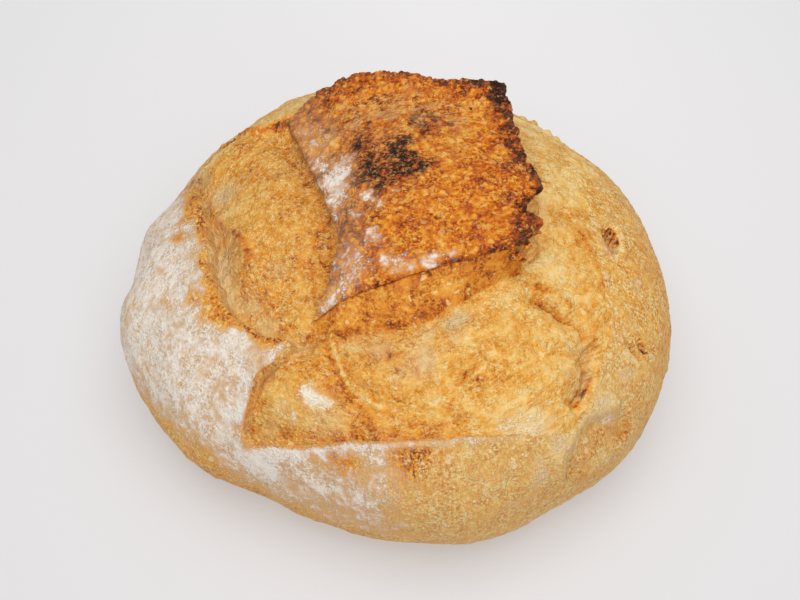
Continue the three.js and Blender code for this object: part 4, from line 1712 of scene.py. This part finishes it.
BLOOM_SHADE = patch_rows(
    (-7, -65, 89, 5, 0.5), (9, -68, 91, 5, 0.55), (-60, -38, 84, 5, 0.5), (76, -56, 74, 2.6, 0.6),
    (74, -64, 70, 2.6, 0.6), (71, -72, 68, 2.6, 0.5), (-76, 0, 80, 3.9, 1), (-74, -11, 79, 5.5, 1.4),
    (-73, -20, 79, 5.5, 1.4), (-69.5, -29, 79, 4.2, 1.3), (-66.5, -34, 80, 2.4, 0.9), (-73, 22, 80, 5, 0.8),
    (-72, 9, 84, 2.9, 0.6), (-81, 47, 73, 3.9, 0.8), (-82, 38, 72, 2.4, 0.8), (-52, -49, 82, 3.9, 0.55),
    (-48, -26, 90, 2.9, 0.4), (-56, -41, 83, 2.4, 0.5), (-38, -60, 82, 3.4, 0.6), (-51, -69, 77, 1.9, 0.6),
    (-31, -86, 74, 5.8, 0.4), (-23, -88, 74, 3.9, 0.4), (-50, -85, 63, 2.9, 0.4), (-16, -62, 88, 3.4, 0.4),
    (11, -73, 89, 3.9, 0.6), (2, -75, 87, 2.9, 0.35), (14, -61, 94, 2.4, 0.7), (22, -56, 94, 3.4, 0.9),
    (26, -53, 94, 2.9, 0.6), (23, -63, 93, 2.4, 0.4), (69, -57, 80, 1.9, 0.6), (67, -68, 78, 1.9, 0.6),
)
# Small holes in the bloom, sunk and baked darker there as painted shade.
BLOOM_HOLES = patch_rows(
    (-20, -59, 87, 1, 1), (-10, -63, 89, 1, 1), (-6, -62, 90, 1, 1), (-9, -68, 88, 1, 1),
    (-4, -67, 89, 1, 1), (-3, -69, 89, 1, 1), (6, -65, 92, 1, 1), (8, -66, 92, 1, 1), (8, -74, 89, 1, 1),
    (11, -72, 90, 1, 1), (13, -73, 89, 1, 1), (12, -76, 88, 1, 1), (0, -74, 87, 1, 1), (2, -76, 87, 1, 1),
    (22, -57, 94, 1.5, 1), (29, -53, 94, 1, 1), (44, -68, 89, 1, 1), (25, -89, 78, 1, 1),
    (51, -83, 77, 1, 1), (-48, -26, 90, 1, 1), (-20, -56, 89, 1, 1),
)
LUMPS = patch_rows(
    (60, 78, 65, 1.5, 2), (63, 75, 65, 1, 1.5), (66, 70, 68, 1.9, 2.2), (70, 66, 69, 1.5, 1.6),
    (56, 80, 67, 1.5, 1.2),
)
BLOOM_FLOUR = patch_rows(
    (-35, -79, 79, 1.9, 0.9), (-33, -81, 79, 1.9, 0.9), (-31, -82, 78, 1.5, 0.9), (-28, -83, 78, 1.5, 0.9),
    (-25, -83, 78, 1, 0.7), (-35, -78, 80, 1, 0.6), (56, -90, 68, 5.8, 0.35), (44, -91, 71, 4.9, 0.25),
    (-44, -81, 74, 2.4, 0.3), (-40, -85, 72, 1.5, 0.5),
)
SHELF = patch_rows(
    (-18, -58, 89, 2.4, 0.15), (-12, -59, 90, 2.9, 0.15), (-4, -60, 91, 3.9, 0.2), (0, -59, 92, 2.9, 0.17),
    (5, -59, 93, 2.9, 0.17), (11, -56, 94, 3.9, 0.23), (17, -53, 95, 3.4, 0.23),
)


@dataclass
class EarCrust(Piece):
    """The ear's crust plate: blistered, floured at the front left, and burnt at its right and back edges."""

    name: str = "ear_crust"
    slot: str = "ear"
    finish: BakedFinish = EAR_FINISH
    upright: float = 0.4
    cells_across: int = 150
    cells_deep: int = 200
    rim_cuts: int = 4
    thin: float = 1.5  # thickness at the front and left edges
    thick: float = 4.0  # thickness at the right and back edges
    width: float = 82.0
    depth: float = 112.0
    back_curl: float = 2.2  # how far the back edge curls up
    back_dip: float = 1.6  # depth of the hollow in front of it
    right_curl: float = 1.0
    large_blister: float = 0.6
    small_blister: float = 0.28
    roll: float = 0.5  # height of the wrinkles in front of the back edge
    scorch_at: tuple[float, float] = (-5.0, 20.0)  # middle of the scorch, in plan
    corner_at: tuple[float, float] = (44.0, 54.0)  # the charred corner
    web_at: tuple[float, float] = (-2.0, 22.0)  # where its pale strands show most
    own_bake: float = 0.41
    right_bake: float = 0.24  # what each edge adds
    back_bake: float = 0.18
    front_bake: float = 0.17
    left_bake: float = 0.12
    most_bake: float = 0.73  # the deepest away from the scorch and the corner
    sheet: EarSheet = field(default_factory=EarSheet)

    def start(self) -> bmesh.types.BMesh:
        """A thin slab of square cells, whose rim is cut into a few rows.

        Returns:
            The mesh.
        """
        bm = bmesh.new()
        bmesh.ops.create_grid(bm, x_segments=self.cells_across, y_segments=self.cells_deep, size=1.0)
        bmesh.ops.solidify(bm, geom=bm.faces[:], thickness=0.2)
        upright = [e for e in bm.edges if abs(e.verts[0].co.z - e.verts[1].co.z) > 0.1]
        bmesh.ops.subdivide_edges(bm, edges=upright, cuts=self.rim_cuts, use_grid_fill=True)
        return bm

    def place(self, raw: Array) -> Array:
        """Stretch the slab over the ear's edges, thicker towards the right and the back.

        Args:
            raw: the start mesh's points.

        Returns:
            The points in the coarse form, in mm.
        """
        noise = self.form.noise
        u, v = (raw[:, 0] + 1) / 2, (raw[:, 1] + 1) / 2
        z = raw[:, 2]
        sunk = (z.max() - z) / (z.max() - z.min())
        self.u, self.v, self.sunk = u, v, sunk
        top = self.sheet.at(u, v)
        self.from_right, self.from_left = (1 - u) * self.width, u * self.width
        self.from_back, self.from_front = (1 - v) * self.depth, v * self.depth
        outer = np.maximum(smoothstep(0.6, 1.0, u), smoothstep(0.75, 1.0, v))
        thickness = self.thin + (self.thick - self.thin) * outer
        p = top - np.stack([np.zeros(len(u)), np.zeros(len(u)), thickness * sunk], axis=1)
        curl = self.back_curl * bell(self.from_back, 6.0) * band(0.12, 0.35, 0.9, 1.0, u)
        curl += self.right_curl * bell(self.from_right, 4.0) * band(0.1, 0.5, 0.9, 1.0, v)
        curl -= self.back_dip * bell(self.from_back - 11, 5.0) * band(0.12, 0.35, 0.8, 1.0, u)
        p[:, 2] += curl * (1 - 0.5 * sunk)
        corner = smoothstep(0.0, 9.0, np.hypot(self.from_right, self.from_back))
        fray = noise.layers(top, 6.0, 3, 0.6) * corner
        p[:, 0] += 1.5 * fray * bell(self.from_right, 3.5)
        p[:, 1] += 1.3 * fray * bell(self.from_back, 3.5)
        bulge = np.sin(math.pi * sunk) * 0.7
        p[:, 0] += bulge * (bell(self.from_right, 0.8) - bell(self.from_left, 0.8))
        p[:, 1] += bulge * (bell(self.from_back, 0.8) - bell(self.from_front, 0.8))
        return p

    def relief(self, p: Array) -> Array:
        """Round blisters, wrinkles rolled up in front of the back edge, and crumbly torn rims.

        Args:
            p: the placed points.

        Returns:
            The height along the normal at each point, in mm.
        """
        noise = self.form.noise
        q = noise.warp(p, 5.0, 1.0)
        top = smoothstep(0.5, 0.2, self.sunk)
        height = 0.55 * noise.layers(p, 10.0, 3)
        gap, draw = noise.cells(q, 3.6)
        large = np.clip(1 - np.square(gap / 0.5), 0, 1) * (draw > 0.45)
        gap, draw = noise.cells(q + 23, 2.0)
        small = np.clip(1 - np.square(gap / 0.5), 0, 1) * (draw > 0.4)
        calm = 1 - 0.2 * smoothstep(-8, -20, p[:, 0])
        height += (self.large_blister * large + self.small_blister * small) * top * calm
        self.blister = np.maximum(large, 0.7 * small)
        self.rolls = bell(self.from_back - 17, 8.0) * band(0.08, 0.25, 0.65, 0.95, self.u)
        height += self.roll * np.sin(self.from_back / 1.5 + 3.0 * noise.at(p, 14.0)) * self.rolls * top
        rim = np.maximum(bell(self.from_back, 5.5), bell(self.from_right, 4.5))
        height += 0.9 * noise.layers(p, 2.4, 2) * rim * smoothstep(0.03, 0.12, self.u)
        height += self.lines(q[:, :2], EAR_MARKS, "height") * top
        return height

    def drawn(self, p: Array) -> Array:
        """Stretched across the ear."""
        return np.stack([self.from_left * 0.35, self.from_front, 3.0 * self.sunk], axis=1)

    def baked(self, p: Array, w: Array) -> Array:
        """Bake: orange in the middle, and deeper along each edge, at the left and in the scorch.

        Args:
            p: the points.
            w: the same points stirred about, so that patches have wandering edges.

        Returns:
            The bake at each point.
        """
        noise = self.form.noise
        bake = self.own_bake + 0.08 * noise.layers(p, 6.0, 3) + 0.05 * noise.layers(p + 11, 2.4, 2)
        bake += self.patches(w, EAR_BAKE, 1.25)
        bake += 0.14 * spot(w, self.scorch_at, 15.0)
        right = bell(self.from_right + 1.5 * noise.at(p, 5.0), 3.2) * smoothstep(0.0, 0.06, self.v)
        back = bell(np.maximum(self.from_back + 1.5 * noise.at(p, 6.0) - 5.0, 0), 3.0)
        back *= smoothstep(0.1, 0.25, self.u)
        bake += self.right_bake * right + self.back_bake * back * (1 - right)
        bake += self.front_bake * bell(self.from_front, 1.5) + self.left_bake * bell(self.from_left, 2.0)
        bake += 0.10 * smoothstep(-2, -20, p[:, 0]) * band(-50, -10, 20, 45, p[:, 1])
        bake -= 0.08 * self.rolls
        bake += 0.16 * noise.layers(p * (1.0, 0.6, 1.0) + 5, 3.2, 2) * smoothstep(26, 12, self.from_left)
        bake += self.lines(w[:, :2], EAR_MARKS, "browned")
        charred = np.maximum(spot(p, self.corner_at, 9.0), spot(p, self.scorch_at, 24.0))
        most = self.most_bake + (1 - self.most_bake) * np.clip(1.3 * charred, 0, 1)
        return np.where(self.sunk > 0.35, 0.55 + 0.6 * (bake - 0.5), np.minimum(bake, most))

    def masks(self, p: Array, crest: Array) -> dict[Mask, Array]:
        """Orange in the middle, charred at the scorch and along the torn rims, floured at the front left.

        Args:
            p: the finished points.
            crest: from -1 in a hollow to 1 on a crest; not used.

        Returns:
            The masks that differ from the plain ones.
        """
        noise = self.form.noise
        w = noise.warp(noise.warp(p, 10.0, 2.4), 3.0, 1.2)
        flour = self.patches(noise.warp(w, 5.0, 1.2), EAR_FLOUR, 1.15)
        rolled = 0.6 * self.rolls * smoothstep(-0.4, 0.5, noise.layers(p, 5.0, 2))
        return {
            Mask.BAKE: self.baked(p, w),
            Mask.FLOUR: np.clip(flour, 0, 1.1) * smoothstep(0.6, 0.3, self.sunk),
            Mask.CREST: self.blister * 1.6 - 0.5,
            Mask.SHADE: np.maximum(rolled, 0.3 * smoothstep(26, 10, self.from_left)),
            Mask.WEB: 0.3 + 0.7 * spot(p, self.web_at, 24.0),
        }


EAR_MARKS = (
    Mark(((-33, 16), (-28, 24), (-24, 31), (-20, 35)), -0.9, 0.8, 0.25),
    Mark(((-37, 20), (-33, 26), (-28, 33), (-22, 38)), 0.8, 1.3, -0.12),
    Mark(((-30, 54), (-18, 60), (-2, 63), (12, 58), (22, 50)), 0.9, 2.6, -0.16),
    Mark(((-2, 52), (6, 51), (12, 50)), -0.8, 1.0, 0.2),
    Mark(((8, 44), (16, 40), (24, 33)), -0.6, 1.2, 0.3),
    Mark(((41, 48), (40, 36), (42, 24), (45, 14), (44, 2), (44, -10)), 0.8, 2.2, 0.06),
)
EAR_BAKE = patch_rows(
    (-33, 54, 96, 2.4, 0.16), (-30, 44, 99, 2, 0.2), (-38, 57, 93, 2, 0.16), (-25, 40, 103, 2.4, 0.16),
    (-32, 48, 98, 5.8, 0.12), (-22, 49, 102, 5.8, 0.15), (-41, 60, 92, 3.9, 0.12),
    (-26, 31, 102, 3.9, -0.1), (-36, 36, 96, 4.9, -0.12), (-16, 28, 107, 3.9, 0.25),
    (-12, 18, 109, 3.9, 0.31), (-14, 7, 108, 3.4, 0.25), (-7, 9, 110, 3.9, 0.34), (-7, 1, 110, 2.9, 0.31),
    (0, 20, 112, 3.9, 0.31), (3, 25, 112, 3.4, 0.31), (4, 13, 113, 4.4, 0.34), (1, 5, 112, 3.4, 0.28),
    (9, 10, 114, 3.9, 0.31), (11, 7, 114, 2.4, 0.25), (8, 39, 111, 3.4, 0.25), (11, 46, 111, 2.9, 0.22),
    (15, 38, 112, 3.4, 0.25), (11, 31, 113, 2.9, 0.28), (-19, 52, 103, 3.9, 0.12),
    (-13, 38, 107, 2.4, 0.19), (31, 46, 112, 5.8, -0.12), (34, 35, 113, 3.9, -0.1),
    (12, 19, 114, 4.9, -0.1), (26, 20, 114, 4.4, -0.1), (44, 10, 113, 3.4, 0.07), (42, 52, 115, 4.4, 0.37),
    (45, 49, 115, 3.4, 0.31), (35, 57, 114, 2.9, 0.19), (43, 41, 113, 2.9, 0.19), (45, 32, 113, 2.9, 0.19),
    (44, 25, 113, 2.4, 0.15), (48, 19, 112, 3.4, 0.15), (50, 15, 112, 3.4, 0.16), (54, 8, 112, 3.9, 0.16),
    (56, 2, 111, 2.4, 0.13), (50, -7, 111, 4.4, 0.15), (48, -17, 112, 3.9, 0.16), (50, -24, 111, 3.9, 0.19),
    (48, -28, 111, 3.4, 0.17), (54, -20, 111, 2.4, 0.15), (-18, -12, 105, 4.9, 0.12),
    (-14, -23, 105, 4.9, 0.12), (-18, -31, 101, 4.4, 0.09), (-9, -13, 109, 3.9, 0.09),
    (-6, -4, 110, 2.9, 0.19),
)
EAR_FLOUR = patch_rows(
    (-38, 48, 94, 4, 0.35), (-33, 38, 98, 4, 0.35), (-35, 29, 98, 3, 0.4), (-31, 23, 99, 2.9, 0.8),
    (-27, 12, 102, 3.9, 0.9), (-23, 15, 104, 3.9, 0.75), (-26, 3, 102, 3.4, 0.8), (-21, 21, 105, 2.9, 0.45),
    (-21, 6, 105, 2.9, 0.6), (-23, -2, 103, 2.9, 0.5), (-11, -2, 109, 1.9, 0.9), (-9, -5, 109, 1.5, 0.7),
    (-6, -9, 110, 1.9, 0.8), (0, -3, 112, 1, 0.6), (-15, -10, 106, 1.9, 0.5), (-10, -21, 107, 2.4, 0.7),
    (-8, -25, 107, 1.9, 0.5), (-5, -33, 105, 2.9, 0.8), (0, -36, 106, 2.4, 0.75), (13, -37, 108, 2.9, 0.75),
    (16, -35, 109, 1.9, 0.6), (22, -34, 109, 1.9, 0.6), (5, -39, 106, 2.9, 0.4), (-20, -28, 101, 4.9, 0.35),
    (-17, -37, 100, 4.9, 0.4), (-24, -42, 96, 3.9, 0.5), (-28, -47, 93, 2.9, 0.5), (-25, -8, 101, 2.4, 0.3),
)


@dataclass
class EarDough(Piece):
    """The torn dough between the ear's crust and the bloom, at its right, back and left."""

    name: str = "ear_dough"
    slot: str = "ear"
    finish: BakedFinish = TORN_FINISH
    cuts_across: int = 100
    cuts_deep: int = 110
    cuts_high: int = 30
    left_gap: float = 0.02  # how far it stays in from the ear's left edge, as a share of the way across
    front_gap: float = 0.05
    inset: float = 0.06  # how far it stays in from the right and back edges at its top
    flare: float = 0.10  # how much further out it stands at its foot
    cover: float = 1.0  # how far its top lies inside the plate
    sunk: float = 5.0  # how far it goes on down inside the bloom
    sheet: EarSheet = field(default_factory=EarSheet)

    def start(self) -> bmesh.types.BMesh:
        """A cube cut finely along its three directions.

        Returns:
            The mesh.
        """
        bm = bmesh.new()
        bmesh.ops.create_cube(bm, size=1.0)
        for axis, cuts in ((2, self.cuts_high), (0, self.cuts_across), (1, self.cuts_deep)):
            along = [
                e for e in bm.edges
                if all(abs(e.verts[0].co[k] - e.verts[1].co[k]) < 1e-6 for k in range(3) if k != axis)
            ]
            bmesh.ops.subdivide_edges(bm, edges=along, cuts=cuts, use_grid_fill=True)
        return bm

    def place(self, raw: Array) -> Array:
        """Fit the cube under the ear's crust and let it spread where it joins the bloom.

        Args:
            raw: the start mesh's points.

        Returns:
            The points in the coarse form, in mm.
        """
        s, t, d = raw[:, 0] + 0.5, raw[:, 1] + 0.5, 0.5 - raw[:, 2]
        self.s, self.d = s, d
        reach = 1 - self.inset + self.flare * d
        u = self.left_gap + s * (reach - self.left_gap)
        v = self.front_gap + t * (reach - self.front_gap)
        top = self.sheet.at(u, v)
        surface = self.form.bloom_height(top[:, :2])
        high = top[:, 2] - self.cover
        rest = np.minimum(surface, high) - self.sunk
        return np.column_stack([top[:, :2], high + (rest - high) * d])

    def relief(self, p: Array) -> Array:
        """Rough crumb, torn in layers.

        Args:
            p: the placed points.

        Returns:
            The height along the normal at each point, in mm.
        """
        noise = self.form.noise
        torn = smoothstep(0.02, 0.1, self.d)
        height = 0.9 * noise.strands(noise.warp(p, 6.0, 2.0) * (1, 1, 1.8), 4.0)
        height += 0.6 * noise.layers(p, 5.0, 3)
        return torn * height

    def drawn(self, p: Array) -> Array:
        """Stretched level."""
        return p * (0.4, 0.4, 1.3)

    def masks(self, p: Array, crest: Array) -> dict[Mask, Array]:
        """Browned where it meets the crust, paler crumb lower down.

        Args:
            p: the finished points.
            crest: from -1 in a hollow to 1 on a crest.

        Returns:
            The masks that differ from the plain ones.
        """
        bake = 0.42 + 0.06 * self.form.noise.layers(p, 8.0, 3)
        bake += 0.35 * bell(self.d, 0.16) + 0.12 * smoothstep(0.8, 1.0, self.s)
        return {Mask.BAKE: bake, Mask.CREST: crest, Mask.SHADE: 0.25 * smoothstep(0.2, 0.8, self.d)}


@dataclass(frozen=True)
class Lump:
    """A flake or a crumb: where its middle is, its half sizes, and how far it is turned."""

    at: tuple[float, float, float]
    size: tuple[float, float, float]
    turn: float


@dataclass
class Flakes(Piece):
    """Burnt flakes that hang on the torn right edge of the ear."""

    name: str = "flakes"
    slot: str = "ear"
    finish: BakedFinish = EAR_FINISH
    lumps: tuple[Lump, ...] = (
        Lump((47.5, -31.0, 104.0), (3.2, 1.3, 1.6), 0.5),
        Lump((50.0, -30.0, 101.0), (1.8, 1.0, 1.2), 0.2),
        Lump((47.5, -34.0, 96.5), (2.0, 0.8, 0.9), 0.4),
        Lump((52.0, -27.0, 106.0), (1.9, 1.3, 1.5), 1.2),
        Lump((55.5, -22.0, 108.0), (1.7, 1.2, 1.0), 0.0),
    )

    def start(self) -> bmesh.types.BMesh:
        """One small round lump each.

        Returns:
            The mesh.
        """
        bm = bmesh.new()
        for lump in self.lumps:
            new = bmesh.ops.create_icosphere(bm, subdivisions=4, radius=1.0)["verts"]
            bmesh.ops.scale(bm, verts=new, vec=lump.size)
            bmesh.ops.rotate(bm, verts=new, matrix=Matrix.Rotation(lump.turn, 3, "Z"))
            bmesh.ops.translate(bm, verts=new, vec=lump.at)
        return bm

    def place(self, raw: Array) -> Array:
        """The lumps start in place."""
        return raw

    def relief(self, p: Array) -> Array:
        """Ragged all round."""
        return 0.9 * self.form.noise.layers(p, 2.2, 3)

    def masks(self, p: Array, crest: Array) -> dict[Mask, Array]:
        """Reddish brown."""
        return {Mask.BAKE: 0.58 + 0.1 * self.form.noise.layers(p, 2.0, 2), Mask.CREST: crest}


# ---- Studio --------------------------------------------------------------------------------------


@dataclass
class Studio:
    """A pale floor with a pool of light painted on it, soft light from all round and above, and the camera.
    """

    elevation: float = 50.0  # of the camera above the horizon, degrees
    distance: float = 0.80
    lens: float = 85.0
    sensor: float = 36.0  # width of the film, mm
    sight: float = 50.0  # how far the camera sees, m
    aim: tuple[float, float, float] = (1.5, -8.0, 50.0)  # mm, in the dome's axes
    floor_side: float = 8.0
    painted_pool_colour: Colour = (188, 187, 188)  # painted light: the floor's colour in the middle of a brighter pool of light painted behind the loaf
    # the floor's colour at the edge of the painted pool of light and beyond
    floor_far: Colour = (173, 172, 173)
    painted_light_pool: tuple[float, float, float] = (0.02, 0.24, 0.42)  # middle and radius of the painted pool of light, m
    floor_glow: float = 0.70  # how far the floor shines by itself, which keeps its shadows pale
    room_light: float = 0.55
    lamp_aim: tuple[float, float, float] = (0.0, 0.0, 0.05)  # m

    def build(self) -> None:
        """Make the camera, the floor and the lights."""
        self.camera()
        self.floor()
        self.lights()

    def camera(self) -> None:
        """Stand the camera in front and above, looking down at the loaf."""
        data = bpy.data.cameras.new("camera")
        data.lens = self.lens
        data.sensor_width = self.sensor
        data.clip_end = self.sight
        camera = bpy.data.objects.new("camera", data)
        bpy.context.scene.collection.objects.link(camera)
        tilt = math.radians(self.elevation)
        back = Vector((0, -math.cos(tilt), math.sin(tilt)))
        aim = Vector([(a + b) * METRE for a, b in zip(self.aim, DOME_PLACE)])
        camera.location = aim + back * self.distance
        camera.rotation_euler = (-back).to_track_quat("-Z", "Y").to_euler()
        bpy.context.scene.camera = camera

    def floor(self) -> None:
        """Lay the floor, with a pool of light painted into its colour and a glow of its own."""
        bm = bmesh.new()
        bmesh.ops.create_grid(bm, x_segments=1, y_segments=1, size=self.floor_side / 2)
        mesh = bpy.data.meshes.new("floor")
        bm.to_mesh(mesh)
        bm.free()
        floor = bpy.data.objects.new("floor", mesh)
        bpy.context.scene.collection.objects.link(floor)
        material = bpy.data.materials.new("floor")
        material.use_nodes = True
        tree = NodeTree(material)
        # Painted light: the floor's colour fades from the pool's middle to its edge, as a pool of light
        # would.
        x, y, radius = self.painted_light_pool
        off = tree.vector("SUBTRACT", tree.node("TexCoord").outputs["Object"], (x, y, 0.0))
        off = tree.vector("LENGTH", tree.vector("MULTIPLY", off, (1.0, 0.76, 0.0)))
        colour = tree.ramp(off, ((0.0, linear(self.painted_pool_colour)), (radius, linear(self.floor_far))))
        tree.shade({
            "Base Color": colour,
            "Emission Color": colour,
            "Emission Strength": self.floor_glow,
            "Roughness": 0.9,
            "Specular IOR Level": 0.1,
        })
        mesh.materials.append(material)

    def lights(self) -> None:
        """Hang one large soft light overhead and let the room fill the rest."""
        scene = bpy.context.scene
        scene.view_settings.view_transform = "Standard"
        world = bpy.data.worlds.new("room")
        world.use_nodes = True
        background = world.node_tree.nodes["Background"]
        background.inputs["Color"].default_value = (1.0, 1.0, 1.0, 1.0)
        background.inputs["Strength"].default_value = self.room_light
        scene.world = world
        self.lamp("overhead", place=(0.05, -0.2, 1.3), side=1.2, power=9.5)
        self.lamp("front", place=(0.2, -1.2, 0.9), side=0.9, power=4.0)

    def lamp(self, name: str, place: tuple[float, float, float], side: float, power: float) -> None:
        """Hang a square soft light that faces the loaf.

        Args:
            name: its name.
            place: where it hangs, in metres.
            side: its side, in metres.
            power: its power, in watts.
        """
        data = bpy.data.lights.new(name, "AREA")
        data.size = side
        data.energy = power
        lamp = bpy.data.objects.new(name, data)
        lamp.location = place
        lamp.rotation_euler = (Vector(self.lamp_aim) - lamp.location).to_track_quat("-Z", "Y").to_euler()
        bpy.context.scene.collection.objects.link(lamp)


def main() -> None:
    """Build the studio and the loaf."""
    logging.basicConfig(level=logging.INFO, format="%(message)s")
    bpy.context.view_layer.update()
    Studio().build()
    form = LoafForm()
    for piece in (OuterCrust(form), Bloom(form), EarCrust(form), EarDough(form), Flakes(form)):
        piece.build()


if __name__ == "__main__":
    main()
